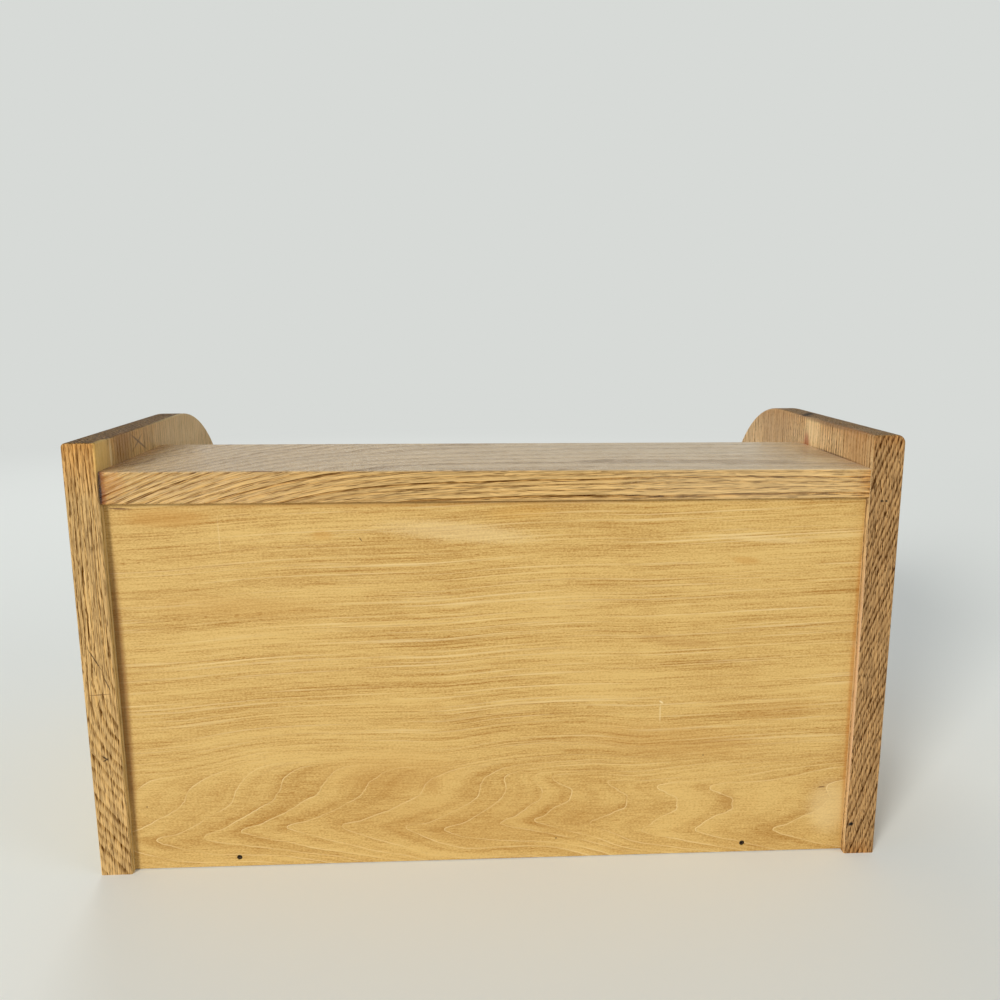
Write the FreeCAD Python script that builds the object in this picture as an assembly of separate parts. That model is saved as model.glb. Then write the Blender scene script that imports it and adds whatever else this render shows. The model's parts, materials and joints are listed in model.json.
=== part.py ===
import FreeCAD, Part

import math
import os

os.makedirs("parts", exist_ok=True)

# An oak bread box: two shaped sides joined by three boards, a plywood back, a slatted curtain that
# runs up and back in grooves in the sides, and a drawer underneath.
# Millimetres. The front faces -Y, +Z is up, and the origin is under the middle of the whole box.
# "Depth" is measured forward from the rear edges of the sides. Left and right are seen from the front.

# Case
case_width = 482.6             # over the outer faces of the sides
side_height = 267.0
side_thickness = 19.05
corner_radius = 127.0          # round top front corner of each side
front_margin = 26.8            # from the closed curtain forward to the front edges of the sides
left_arris_radius = 5.0        # outer top arris of the left side, sanded well over
right_arris_radius = 2.5       # the same arris of the right side
board_ease = 1.0               # broken arrises of the boards

top_board_thickness = 19.05
top_board_length = 116.7       # rear edge to front edge
top_board_drop = 16.5          # its top face below the tops of the sides
top_board_inset = 0.8          # its rear edge ahead of the rear edges of the sides

shelf_thickness = 19.05
shelf_underside = 75.0         # above the ground, and so the top of the drawer's bay
shelf_setback = 3.5            # its front edge behind the front edges of the sides
shelf_dado_depth = 6.35        # let into each side
shelf_end_gap = 0.2            # at the bottom of each dado

bottom_thickness = 12.7
bottom_setback = 3.5

panel_thickness = 6.35         # plywood back
panel_recess = 5.0             # its outer face ahead of the rear edges of the sides
panel_groove_depth = 6.0
panel_fit = 0.1                # play on each face of the plywood in its grooves
panel_end_gap = 0.5            # play at each end of the plywood, and under it

# Curtain
slat_count = 15
slat_thickness = 8.0
slat_gap = 0.3                 # between two slats along the canvas
slat_shoulder = 5.4            # thickness at a slat's long edges, below its crown
slat_end_play = 0.85           # between a slat's shoulder and the side
tongue_thickness = 5.0         # slat ends that run in the grooves
tongue_length = 7.0
track_depth = 8.0              # groove in each side
track_play = 0.6               # between a tongue and either wall of its groove
curtain_rear_gap = 3.15        # between the open curtain and the plywood back
curtain_top_gap = 1.5          # between the curtain and the underside of the top board
curtain_tuck = 12.0            # length of closed curtain behind the top board's front edge
rail_height = 24.0
rail_thickness = 12.0
rail_round = 3.0               # front arrises of the pull rail
canvas_thickness = 0.8
canvas_width = 424.0
canvas_on_rail = 7.8           # canvas glued up the back of the pull rail
glue_gap = 0.05
rest_gap = 0.3                 # under the pull rail and the drawer

# Drawer
drawer_side_gap = 1.5          # between a drawer side and the case side
drawer_front_gap = 1.2         # between the drawer front's ends and the case sides
drawer_top_gap = 1.5           # over the drawer front
drawer_rear_gap = 0.5          # behind the closed drawer
drawer_setback = 2.0           # drawer front's face behind the front edges of the sides
drawer_front_thickness = 19.05
drawer_side_thickness = 12.7
drawer_side_height = 52.0
drawer_rabbet = 9.5            # step at the ends of the drawer front, for the drawer sides
drawer_bottom_thickness = 6.35
drawer_bottom_height = 6.35    # underside of the drawer bottom above the lower edges of the sides
drawer_groove_depth = 5.5
drawer_groove_play = 0.1

# Knobs and fixings
drawer_knob_diameter = 32.0
drawer_knob_length = 26.0
drawer_knob_foot = 18.0        # diameter of the seat
drawer_knob_neck = 14.0        # diameter of the waist
drawer_knob_crown = 2.6        # height of the domed face
drawer_knob_spacing = 240.0
rail_knob_diameter = 22.0
rail_knob_length = 18.0
rail_knob_foot = 13.0
rail_knob_neck = 10.0
rail_knob_crown = 2.0
rail_knob_spacing = 220.0
knob_foot_height = 2.0         # straight part above the seat
knob_lip = 2.5                 # rounding of the rim, from its widest line in to the dome
screw_diameter = 4.0
screw_head_diameter = 7.6
screw_head_height = 2.4
screw_slot_width = 1.1
screw_slot_depth = 1.0
screw_in_knob = 11.0           # thread inside a knob
case_nail_diameter = 2.0
case_nail_length = 38.0
case_nail_head = 2.8
case_nail_set = 1.5            # head below the face of the side
case_nail_margin = 30.0        # first and last nail from the edges of a board
small_nail_diameter = 1.6
small_nail_length = 25.0
small_nail_head = 3.2
small_nail_set = 0.4
panel_nail_margin = 83.3       # nails in the back, from the outer faces of the sides
drawer_nail_margin = 12.0      # upper nails below the top of a drawer side
drawer_nail_rise = 6.0         # lower nails above the drawer bottom
drawer_bottom_nail_spacing = 160.0
nail_head_height = 1.0
nail_point = 3.0
hole_play = 0.05               # around every nail and screw

# Worked out from the sizes above
half_width = case_width / 2
inner_half = half_width - side_thickness
top_board_underside = side_height - top_board_drop - top_board_thickness
shelf_top = shelf_underside + shelf_thickness
panel_front = panel_recess + panel_thickness
track_height = shelf_top + rest_gap + rail_height / 2
curtain_radius = top_board_underside - curtain_top_gap - track_height
track_centre = panel_front + curtain_rear_gap + curtain_radius
case_depth = track_centre + curtain_radius + front_margin
overall_depth = case_depth - drawer_setback + drawer_knob_length
rear_y = overall_depth / 2
drawer_front_face = case_depth - drawer_setback

fold_radius = curtain_radius - slat_thickness      # creases of the canvas between the strips
top_board_front = top_board_inset + top_board_length
tuck_angle = math.acos((top_board_front - track_centre) / curtain_radius) + curtain_tuck / curtain_radius
rail_half_angle = math.asin((rail_height + slat_gap) / 2 / fold_radius)
rail_back = fold_radius * math.cos(rail_half_angle)
rail_face = rail_back + rail_thickness
slat_half_angle = (tuck_angle - rail_half_angle) / (2 * slat_count)
slat_back = fold_radius * math.cos(slat_half_angle)
slat_width = 2 * fold_radius * math.sin(slat_half_angle) - slat_gap
track_inner = rail_back - track_play
tongue_corner = max(math.hypot(rail_back + tongue_thickness, rail_height / 2),
                    math.hypot(slat_back + tongue_thickness, slat_width / 2))
track_outer = tongue_corner + track_play

along_x = FreeCAD.Vector(1, 0, 0)
forward = FreeCAD.Vector(0, -1, 0)
upward = FreeCAD.Vector(0, 0, 1)


def at(x, depth, z):
    """Point from its place across, its depth from the rear edges, and its height."""
    return FreeCAD.Vector(x, rear_y - depth, z)


def block(x_low, x_high, depth_low, depth_high, z_low, z_high):
    """Square-edged block between two depths."""
    corner = at(x_low, depth_high, z_low)
    return Part.makeBox(x_high - x_low, depth_high - depth_low, z_high - z_low, corner)


def extruded(points, x_low, x_high):
    """Solid whose end face has the given (depth, height) corners, between two places across."""
    wire = Part.makePolygon([at(x_low, depth, z) for depth, z in points + points[:1]])
    return Part.Face(wire).extrude(along_x * (x_high - x_low))


def cylinder(radius, length, start, direction):
    return Part.makeCylinder(radius, length, start, direction)


def near(value, target):
    return abs(value - target) < 0.01


def lengthwise_ease(shape, x_low, x_high, radius):
    """Break the arrises that run the whole length of a board, from end to end."""
    long_edges = []
    for edge in shape.Edges:
        ends = sorted(vertex.Point.x for vertex in edge.Vertexes)
        if len(ends) == 2 and near(ends[0], x_low) and near(ends[1], x_high):
            long_edges.append(edge)
    return shape.makeFillet(radius, long_edges)


def save(shape, name):
    shape.exportStep("parts/" + name + ".step")


# Nails and screws

def nail(diameter, length, head_diameter, head_face, direction):
    """Nail with its head's face at the given point, driven in the given direction."""
    head = cylinder(head_diameter / 2, nail_head_height, head_face, direction)
    shank = cylinder(diameter / 2, length - nail_point, head_face, direction)
    point = Part.makeCone(diameter / 2, diameter / 8, nail_point,
                          head_face + direction * (length - nail_point), direction)
    return head.fuse([shank, point]).removeSplitter()


def nail_hole(diameter, length, head_diameter, head_set, head_face, direction):
    """Hole for such a nail, open at the wood's face above its head."""
    shank = cylinder(diameter / 2 + hole_play, length + hole_play, head_face, direction)
    mouth = cylinder(head_diameter / 2 + hole_play, head_set + nail_head_height + hole_play,
                     head_face - direction * head_set, direction)
    return shank.fuse(mouth)


def screw(length, seat):
    """Slotted pan-head screw pointing forward, its head on its seat and its thread a plain rod."""
    head = cylinder(screw_head_diameter / 2, screw_head_height, seat, forward * -1)
    rear = seat.y + screw_head_height
    rim_edges = [edge for edge in head.Edges if near(edge.BoundBox.YMin, rear)]
    head = head.makeFillet(screw_head_height / 2, rim_edges)
    reach = screw_head_diameter / 2
    slot_corner = FreeCAD.Vector(seat.x - reach, rear - screw_slot_depth, seat.z - screw_slot_width / 2)
    slot = Part.makeBox(2 * reach, screw_slot_depth, screw_slot_width, slot_corner)
    rod = cylinder(screw_diameter / 2, length, seat, forward)
    return head.cut(slot).fuse(rod).removeSplitter()


# Case

def side_nail_rows():
    """Height, first depth, last depth and number of nails for the boards nailed between the sides."""
    top_middle = top_board_underside + top_board_thickness / 2
    shelf_middle = shelf_underside + shelf_thickness / 2
    front = case_depth - shelf_setback
    bottom_front = case_depth - bottom_setback
    return [
        (top_middle, top_board_inset + case_nail_margin, top_board_front - case_nail_margin, 2),
        (shelf_middle, panel_front + case_nail_margin, front - case_nail_margin, 3),
        (bottom_thickness / 2, panel_front + case_nail_margin, bottom_front - case_nail_margin, 3),
    ]


def side_nail_places(sign):
    """Head and direction of each nail driven through one side."""
    x = sign * (half_width - case_nail_set)
    places = []
    for z, first, last, count in side_nail_rows():
        for index in range(count):
            depth = first + (last - first) * index / (count - 1)
            places.append((at(x, depth, z), along_x * -sign))
    return places


def cut_case_nails(shape, sign):
    for place, direction in side_nail_places(sign):
        hole = nail_hole(case_nail_diameter, case_nail_length, case_nail_head,
                         case_nail_set, place, direction)
        shape = shape.cut(hole)
    return shape


def case_nails(sign):
    nails = []
    for place, direction in side_nail_places(sign):
        nails.append(nail(case_nail_diameter, case_nail_length, case_nail_head, place, direction))
    return Part.makeCompound(nails)


def track_arch(radius, x_low, x_high):
    """Round-topped block that stands on the shelf, about the curtain's centre."""
    rear_foot = at(x_low, track_centre - radius, shelf_top)
    rear_spring = at(x_low, track_centre - radius, track_height)
    crown = at(x_low, track_centre, track_height + radius)
    front_spring = at(x_low, track_centre + radius, track_height)
    front_foot = at(x_low, track_centre + radius, shelf_top)
    wire = Part.Wire([
        Part.LineSegment(rear_foot, rear_spring).toShape(),
        Part.Arc(rear_spring, crown, front_spring).toShape(),
        Part.LineSegment(front_spring, front_foot).toShape(),
        Part.LineSegment(front_foot, rear_foot).toShape(),
    ])
    return Part.Face(wire).extrude(along_x * (x_high - x_low))


def rim(shape, x):
    """Edges of a side's face at the given place across, apart from its foot and its rear upright."""
    return [edge for edge in shape.Edges
            if near(edge.BoundBox.XMin, x) and near(edge.BoundBox.XMax, x)
            and edge.BoundBox.ZMax > board_ease
            and edge.BoundBox.YMin < rear_y - board_ease]


def side(sign, arris_radius):
    """Side board: square at the rear, round at the top front, with its grooves and nail holes."""
    x_low = min(sign * inner_half, sign * half_width)
    round_start = case_depth - corner_radius
    round_low = side_height - corner_radius
    round_middle = corner_radius * math.sqrt(0.5)
    rear_foot = at(x_low, 0, 0)
    rear_top = at(x_low, 0, side_height)
    arc_start = at(x_low, round_start, side_height)
    arc_middle = at(x_low, round_start + round_middle, round_low + round_middle)
    arc_end = at(x_low, case_depth, round_low)
    front_foot = at(x_low, case_depth, 0)
    wire = Part.Wire([
        Part.LineSegment(rear_foot, rear_top).toShape(),
        Part.LineSegment(rear_top, arc_start).toShape(),
        Part.Arc(arc_start, arc_middle, arc_end).toShape(),
        Part.LineSegment(arc_end, front_foot).toShape(),
        Part.LineSegment(front_foot, rear_foot).toShape(),
    ])
    shape = Part.Face(wire).extrude(along_x * side_thickness)
    shape = shape.makeFillet(arris_radius, rim(shape, sign * half_width))
    rear_rim = [edge for edge in shape.Edges
                if near(edge.BoundBox.YMin, rear_y) and edge.BoundBox.ZMax > board_ease]
    shape = shape.makeFillet(board_ease, rim(shape, sign * inner_half) + rear_rim)

    track_low = min(sign * inner_half, sign * (inner_half + track_depth))
    track = track_arch(track_outer, track_low, track_low + track_depth)
    track = track.cut(track_arch(track_inner, track_low, track_low + track_depth))
    shape = shape.cut(track)

    dado_low = min(sign * inner_half, sign * (inner_half + shelf_dado_depth))
    dado = block(dado_low, dado_low + shelf_dado_depth, panel_front, case_depth - shelf_setback,
                 shelf_underside, shelf_top)
    shape = shape.cut(dado)

    groove_low = min(sign * inner_half, sign * (inner_half + panel_groove_depth))
    groove = block(groove_low, groove_low + panel_groove_depth, panel_recess - panel_fit,
                   panel_front + panel_fit, 0, top_board_underside)
    shape = shape.cut(groove)
    return cut_case_nails(shape, sign).removeSplitter()


def top_board():
    shape = block(-inner_half, inner_half, top_board_inset, top_board_front,
                  top_board_underside, top_board_underside + top_board_thickness)
    shape = lengthwise_ease(shape, -inner_half, inner_half, board_ease)
    return cut_case_nails(cut_case_nails(shape, -1), 1)


def shelf_board():
    """Shelf over the drawer, let into the sides."""
    reach = inner_half + shelf_dado_depth - shelf_end_gap
    shape = block(-reach, reach, panel_front, case_depth - shelf_setback, shelf_underside, shelf_top)
    shape = lengthwise_ease(shape, -reach, reach, board_ease)
    return cut_case_nails(cut_case_nails(shape, -1), 1)


def panel_nail_places():
    """Heads of the two nails through the plywood back into the rear edge of the bottom board."""
    x = half_width - panel_nail_margin
    depth = panel_recess + small_nail_set
    return [at(side_sign * x, depth, bottom_thickness / 2) for side_sign in (-1, 1)]


def cut_panel_nails(shape):
    for place in panel_nail_places():
        hole = nail_hole(small_nail_diameter, small_nail_length, small_nail_head,
                         small_nail_set, place, forward)
        shape = shape.cut(hole)
    return shape


def bottom_board():
    shape = block(-inner_half, inner_half, panel_front, case_depth - bottom_setback, 0, bottom_thickness)
    shape = lengthwise_ease(shape, -inner_half, inner_half, board_ease)
    return cut_panel_nails(cut_case_nails(cut_case_nails(shape, -1), 1))


def back_panel():
    """Plywood back, slid up the grooves in the sides to the underside of the top board."""
    reach = inner_half + panel_groove_depth - panel_end_gap
    shape = block(-reach, reach, panel_recess, panel_front, panel_end_gap, top_board_underside)
    return cut_panel_nails(shape)


def back_panel_nails():
    nails = [nail(small_nail_diameter, small_nail_length, small_nail_head, place, forward)
             for place in panel_nail_places()]
    return Part.makeCompound(nails)


# Curtain. Each strip is made where the pull rail lies, level with the centre of the track, and
# turned up about that centre.

def raised(shape, angle):
    shape = shape.copy()
    shape.rotate(at(0, track_centre, track_height), along_x * -1, math.degrees(angle))
    return shape


def slat_angle(index):
    """Angle of a slat's middle above the pull rail's, in radians."""
    return rail_half_angle + (2 * index + 1) * slat_half_angle


def strip(back, half_height, section):
    """Curtain strip: its section between the sides, with thinner tongues into both grooves."""
    body_half = inner_half - slat_end_play
    tongue_half = inner_half + tongue_length
    tongue = block(-tongue_half, tongue_half, track_centre + back, track_centre + back + tongue_thickness,
                   track_height - half_height, track_height + half_height)
    body = Part.Face(section).extrude(along_x * (2 * body_half))
    return body.fuse(tongue).removeSplitter()


def slat(index):
    """Slat with a flat back and a gently crowned face."""
    x = -(inner_half - slat_end_play)
    back = track_centre + slat_back
    low = track_height - slat_width / 2
    high = track_height + slat_width / 2
    shoulder_low = at(x, back + slat_shoulder, low)
    shoulder_high = at(x, back + slat_shoulder, high)
    crown = at(x, back + slat_thickness, track_height)
    section = Part.Wire([
        Part.LineSegment(at(x, back, low), shoulder_low).toShape(),
        Part.Arc(shoulder_low, crown, shoulder_high).toShape(),
        Part.LineSegment(shoulder_high, at(x, back, high)).toShape(),
        Part.LineSegment(at(x, back, high), at(x, back, low)).toShape(),
    ])
    return raised(strip(slat_back, slat_width / 2, section), slat_angle(index))


def rail_knob_places():
    """Middles of the two knobs' seats on the pull rail's face."""
    x = rail_knob_spacing / 2
    return {"left": at(-x, track_centre + rail_face, track_height),
            "right": at(x, track_centre + rail_face, track_height)}


def curtain_pull_rail():
    x = -(inner_half - slat_end_play)
    low = track_height - rail_height / 2
    high = track_height + rail_height / 2
    back = track_centre + rail_back
    face = track_centre + rail_face
    corners = [at(x, back, low), at(x, face, low), at(x, face, high), at(x, back, high)]
    section = Part.makePolygon(corners + corners[:1])
    shape = strip(rail_back, rail_height / 2, section)
    front_edges = [edge for edge in shape.Edges
                   if near(edge.BoundBox.XLength, 2 * (inner_half - slat_end_play))
                   and near(edge.BoundBox.YMin, at(0, face, 0).y)]
    shape = shape.makeFillet(rail_round, front_edges)
    for place in rail_knob_places().values():
        start = place - forward * (rail_thickness + hole_play)
        hole = cylinder(screw_diameter / 2 + hole_play, rail_thickness + 2 * hole_play, start, forward)
        shape = shape.cut(hole)
    return shape


def curtain_canvas():
    """Canvas that the slats are glued to, creased at the gap between each two strips."""
    folds = [rail_half_angle + 2 * slat_half_angle * index for index in range(slat_count)]
    rail_start = math.asin((rail_height / 2 - canvas_on_rail) / fold_radius)
    end_angle = slat_angle(slat_count - 1)
    end_reach = math.tan(slat_half_angle) * slat_back * slat_width / (slat_width + slat_gap)

    def line(offset):
        """Corners of the canvas's section along one of its faces, from the rail to the last slat."""
        outer = slat_back - offset
        points = [(rail_back - offset, (rail_back - offset) * math.tan(rail_start))]
        for fold in folds:
            radius = outer / math.cos(slat_half_angle)
            points.append((radius * math.cos(fold), radius * math.sin(fold)))
        points.append((outer * math.cos(end_angle) - end_reach * math.sin(end_angle),
                       outer * math.sin(end_angle) + end_reach * math.cos(end_angle)))
        return [(track_centre + along, track_height + up) for along, up in points]

    section = line(glue_gap) + line(glue_gap + canvas_thickness)[::-1]
    return extruded(section, -canvas_width / 2, canvas_width / 2)


# Knobs

def knob(diameter, length, foot_diameter, neck_diameter, crown, seat):
    """Turned mushroom knob with a pilot hole for its screw, standing forward from its seat."""
    dome_edge = diameter / 2 - knob_lip
    shoulder = length - crown
    under_rim = shoulder - 2 * knob_lip
    neck_height = (knob_foot_height + under_rim) / 2
    dome_radius = (dome_edge ** 2 + crown ** 2) / (2 * crown)
    half_turn = math.asin(dome_edge / dome_radius) / 2
    dome_middle = dome_radius * math.sin(half_turn)
    dome_height = length - dome_radius * (1 - math.cos(half_turn))
    pilot_radius = screw_diameter / 2 + hole_play
    pilot_depth = screw_in_knob + hole_play

    def point(out, up):
        return FreeCAD.Vector(out, 0, up)

    pilot_end = point(0, pilot_depth)
    foot_top = point(foot_diameter / 2, knob_foot_height)
    rim_start = point(dome_edge, under_rim)
    dome_start = point(dome_edge, shoulder)
    tip = point(0, length)
    outline = Part.Wire([
        Part.LineSegment(pilot_end, point(pilot_radius, pilot_depth)).toShape(),
        Part.LineSegment(point(pilot_radius, pilot_depth), point(pilot_radius, 0)).toShape(),
        Part.LineSegment(point(pilot_radius, 0), point(foot_diameter / 2, 0)).toShape(),
        Part.LineSegment(point(foot_diameter / 2, 0), foot_top).toShape(),
        Part.Arc(foot_top, point(neck_diameter / 2, neck_height), rim_start).toShape(),
        Part.Arc(rim_start, point(diameter / 2, shoulder - knob_lip), dome_start).toShape(),
        Part.Arc(dome_start, point(dome_middle, dome_height), tip).toShape(),
        Part.LineSegment(tip, pilot_end).toShape(),
    ])
    shape = Part.Face(outline).revolve(FreeCAD.Vector(), upward, 360)
    shape.Placement = FreeCAD.Placement(seat, FreeCAD.Rotation(upward, forward))
    return shape


def rail_knob(seat):
    return knob(rail_knob_diameter, rail_knob_length, rail_knob_foot, rail_knob_neck, rail_knob_crown, seat)


def drawer_knob(seat):
    return knob(drawer_knob_diameter, drawer_knob_length, drawer_knob_foot, drawer_knob_neck,
                drawer_knob_crown, seat)


def screws_for(places, wood_thickness):
    """One screw through the wood behind each knob's seat, into the knob."""
    screws = [screw(wood_thickness + screw_in_knob, place - forward * wood_thickness)
              for place in places.values()]
    return Part.makeCompound(screws)


# Drawer

drawer_low = bottom_thickness + rest_gap
drawer_front_top = shelf_underside - drawer_top_gap
drawer_half = inner_half - drawer_side_gap
drawer_inner_half = drawer_half - drawer_side_thickness
drawer_rear = panel_front + drawer_rear_gap
drawer_front_back = drawer_front_face - drawer_front_thickness
rabbet_face = drawer_front_back + drawer_rabbet
drawer_side_top = drawer_low + drawer_side_height
drawer_bottom_low = drawer_low + drawer_bottom_height
drawer_bottom_top = drawer_bottom_low + drawer_bottom_thickness


def drawer_knob_places():
    """Middles of the two knobs' seats on the drawer front."""
    x = drawer_knob_spacing / 2
    z = (drawer_low + drawer_front_top) / 2
    return {"left": at(-x, drawer_front_face, z), "right": at(x, drawer_front_face, z)}


def drawer_nail_places():
    """Head and direction of each nail: through the sides into front and back, and up into the back."""
    front_depth = (drawer_front_back + rabbet_face) / 2
    back_depth = drawer_rear + drawer_side_thickness / 2
    heights = [drawer_bottom_top + drawer_nail_rise, drawer_side_top - drawer_nail_margin]
    places = []
    for side_sign in (-1, 1):
        for depth in (front_depth, back_depth):
            for z in heights:
                head = at(side_sign * (drawer_half - small_nail_set), depth, z)
                places.append((head, along_x * -side_sign))
    for step in (-1, 0, 1):
        head = at(step * drawer_bottom_nail_spacing, back_depth, drawer_bottom_low + small_nail_set)
        places.append((head, upward))
    return places


def cut_drawer_nails(shape):
    for place, direction in drawer_nail_places():
        hole = nail_hole(small_nail_diameter, small_nail_length, small_nail_head,
                         small_nail_set, place, direction)
        shape = shape.cut(hole)
    return shape


def drawer_bottom_space(reach, front):
    """Space for the edges of the drawer bottom, as far out and as far forward as given."""
    return block(-reach, reach, drawer_rear, front, drawer_bottom_low - drawer_groove_play,
                 drawer_bottom_top + drawer_groove_play)


def drawer_front():
    half = inner_half - drawer_front_gap
    shape = block(-half, half, drawer_front_back, drawer_front_face, drawer_low, drawer_front_top)
    face_edges = [edge for edge in shape.Edges
                  if near(edge.BoundBox.YMin, at(0, drawer_front_face, 0).y)
                  and near(edge.BoundBox.YLength, 0)]
    shape = shape.makeFillet(rail_round, face_edges)
    for side_sign in (-1, 1):
        step_low = min(side_sign * drawer_inner_half, side_sign * half)
        step = block(step_low, step_low + half - drawer_inner_half, drawer_front_back, rabbet_face,
                     drawer_low, drawer_front_top)
        shape = shape.cut(step)
    shape = shape.cut(drawer_bottom_space(drawer_inner_half, drawer_front_back + drawer_groove_depth))
    for place in drawer_knob_places().values():
        start = place - forward * (drawer_front_thickness + hole_play)
        hole = cylinder(screw_diameter / 2 + hole_play, drawer_front_thickness + 2 * hole_play, start, forward)
        shape = shape.cut(hole)
    return cut_drawer_nails(shape)


def drawer_side(sign):
    low = min(sign * drawer_inner_half, sign * drawer_half)
    shape = block(low, low + drawer_side_thickness, drawer_rear, rabbet_face, drawer_low, drawer_side_top)
    top_edges = [edge for edge in shape.Edges
                 if near(edge.BoundBox.ZMin, drawer_side_top) and edge.BoundBox.YLength > drawer_side_thickness]
    shape = shape.makeFillet(board_ease, top_edges)
    reach = drawer_inner_half + drawer_groove_depth
    shape = shape.cut(drawer_bottom_space(reach, rabbet_face))
    return cut_drawer_nails(shape)


def drawer_back():
    """Back of the drawer, between its sides and standing on its bottom."""
    shape = block(-drawer_inner_half, drawer_inner_half, drawer_rear, drawer_rear + drawer_side_thickness,
                  drawer_bottom_top + drawer_groove_play, drawer_side_top)
    shape = lengthwise_ease(shape, -drawer_inner_half, drawer_inner_half, board_ease)
    return cut_drawer_nails(shape)


def drawer_bottom():
    reach = drawer_inner_half + drawer_groove_depth - panel_end_gap
    front = drawer_front_back + drawer_groove_depth - panel_end_gap
    main = block(-drawer_inner_half, drawer_inner_half, drawer_rear, front, drawer_bottom_low, drawer_bottom_top)
    wings = block(-reach, reach, drawer_rear, drawer_front_back, drawer_bottom_low, drawer_bottom_top)
    return cut_drawer_nails(main.fuse(wings).removeSplitter())


def drawer_nails():
    nails = [nail(small_nail_diameter, small_nail_length, small_nail_head, place, direction)
             for place, direction in drawer_nail_places()]
    return Part.makeCompound(nails)


# The nodes

save(side(-1, left_arris_radius), "side_left")
save(side(1, right_arris_radius), "side_right")
save(top_board(), "top_board")
save(shelf_board(), "shelf_board")
save(bottom_board(), "bottom_board")
save(back_panel(), "back_panel")
save(back_panel_nails(), "back_panel_nails")
save(case_nails(-1), "case_nails_left")
save(case_nails(1), "case_nails_right")

for index in range(slat_count):
    save(slat(index), "curtain_slat_%02d" % (index + 1))
save(curtain_pull_rail(), "curtain_pull_rail")
save(curtain_canvas(), "curtain_canvas")
for end, place in rail_knob_places().items():
    save(rail_knob(place), "curtain_knob_" + end)
save(screws_for(rail_knob_places(), rail_thickness), "curtain_knob_screws")

save(drawer_front(), "drawer_front")
save(drawer_side(-1), "drawer_side_left")
save(drawer_side(1), "drawer_side_right")
save(drawer_back(), "drawer_back")
save(drawer_bottom(), "drawer_bottom")
for end, place in drawer_knob_places().items():
    save(drawer_knob(place), "drawer_knob_" + end)
save(screws_for(drawer_knob_places(), drawer_front_thickness), "drawer_knob_screws")
save(drawer_nails(), "drawer_nails")
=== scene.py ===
import json
import math

import bmesh
import bpy
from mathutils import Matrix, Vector


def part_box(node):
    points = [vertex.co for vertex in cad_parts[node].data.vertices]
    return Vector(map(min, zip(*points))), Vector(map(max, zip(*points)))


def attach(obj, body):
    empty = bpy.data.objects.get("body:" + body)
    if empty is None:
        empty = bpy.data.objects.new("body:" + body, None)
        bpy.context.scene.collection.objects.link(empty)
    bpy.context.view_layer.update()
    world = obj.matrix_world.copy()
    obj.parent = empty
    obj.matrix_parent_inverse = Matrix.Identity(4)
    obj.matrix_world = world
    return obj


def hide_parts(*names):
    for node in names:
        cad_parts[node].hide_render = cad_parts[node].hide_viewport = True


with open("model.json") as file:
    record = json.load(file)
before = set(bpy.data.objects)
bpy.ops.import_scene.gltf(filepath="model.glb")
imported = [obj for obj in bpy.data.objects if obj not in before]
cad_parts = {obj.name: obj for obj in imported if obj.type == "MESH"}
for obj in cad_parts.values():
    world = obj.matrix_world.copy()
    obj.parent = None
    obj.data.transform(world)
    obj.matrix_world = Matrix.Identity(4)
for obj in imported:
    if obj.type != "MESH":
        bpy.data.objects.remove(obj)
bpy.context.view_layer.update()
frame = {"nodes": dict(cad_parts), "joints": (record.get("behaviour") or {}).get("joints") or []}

# An oak bread box with a plywood back, a slatted curtain and a drawer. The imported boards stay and
# get their wood here; the slats, canvas, nails and screws are made again with more detail.
# Metres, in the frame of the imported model. The front faces -Y, and left is -X.

cadNodes = frame["nodes"]
mm = 0.001
sharpFrom = 32                 # degrees between faces from which an edge stays sharp


# Helpers

def srgb(code):
    # hex colour as written for a screen, to the linear values that the shaders want
    values = [int(code[i:i + 2], 16) / 255 for i in (1, 3, 5)]
    return [v / 12.92 if v <= 0.04045 else ((v + 0.055) / 1.055) ** 2.4 for v in values] + [1.0]


def addNode(tree, kind, inputs=None, points=None, **settings):
    # kind: the type's name, a shader node's without "ShaderNode" before it
    # inputs: values or links by socket name or number, or in the sockets' order, which for a Map Range
    # is what it reads, then from both ends, to both ends; points: stops of a ramp or of a float curve
    node = tree.nodes.new(kind if "Node" in kind else "ShaderNode" + kind)
    for key, value in settings.items():
        setattr(node, key, value)
    pairs = inputs.items() if isinstance(inputs, dict) else enumerate(inputs or [])
    for key, value in pairs:
        if isinstance(value, bpy.types.Node):
            value = value.outputs[0]
        if isinstance(value, bpy.types.NodeSocket):
            tree.links.new(value, node.inputs[key])
        elif value is not None:
            node.inputs[key].default_value = value
    if points and hasattr(node, "color_ramp"):
        stops = node.color_ramp.elements
        while len(stops) < len(points):
            stops.new(0.5)
        for stop, (place, colour) in zip(stops, points):
            stop.position = place
            stop.color = colour if isinstance(colour, list) else (colour, colour, colour, 1)
    elif points:
        line = node.mapping
        line.clip_min_x, line.clip_max_x = points[0][0], points[-1][0]
        line.clip_min_y = min(y for x, y in points)
        line.clip_max_y = max(y for x, y in points)
        line.extend = "HORIZONTAL"
        curve = line.curves[0].points
        while len(curve) < len(points):
            curve.new(0, 0)
        for stop, place in zip(curve, points):
            stop.location = place
            stop.handle_type = "AUTO_CLAMPED"
        line.update()
    return node


def newGroup(name, kind, inputs, outputs):
    # node group with named sockets; an input is (socket type, value to start from)
    tree = bpy.data.node_groups.new(name, kind)
    for socketName, (socketType, value) in inputs.items():
        socket = tree.interface.new_socket(name=socketName, in_out="INPUT",
                                           socket_type="NodeSocket" + socketType)
        if value is not None:
            socket.default_value = value
    for socketName, socketType in outputs.items():
        tree.interface.new_socket(name=socketName, in_out="OUTPUT", socket_type="NodeSocket" + socketType)
    return tree, tree.nodes.new("NodeGroupInput").outputs


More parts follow.
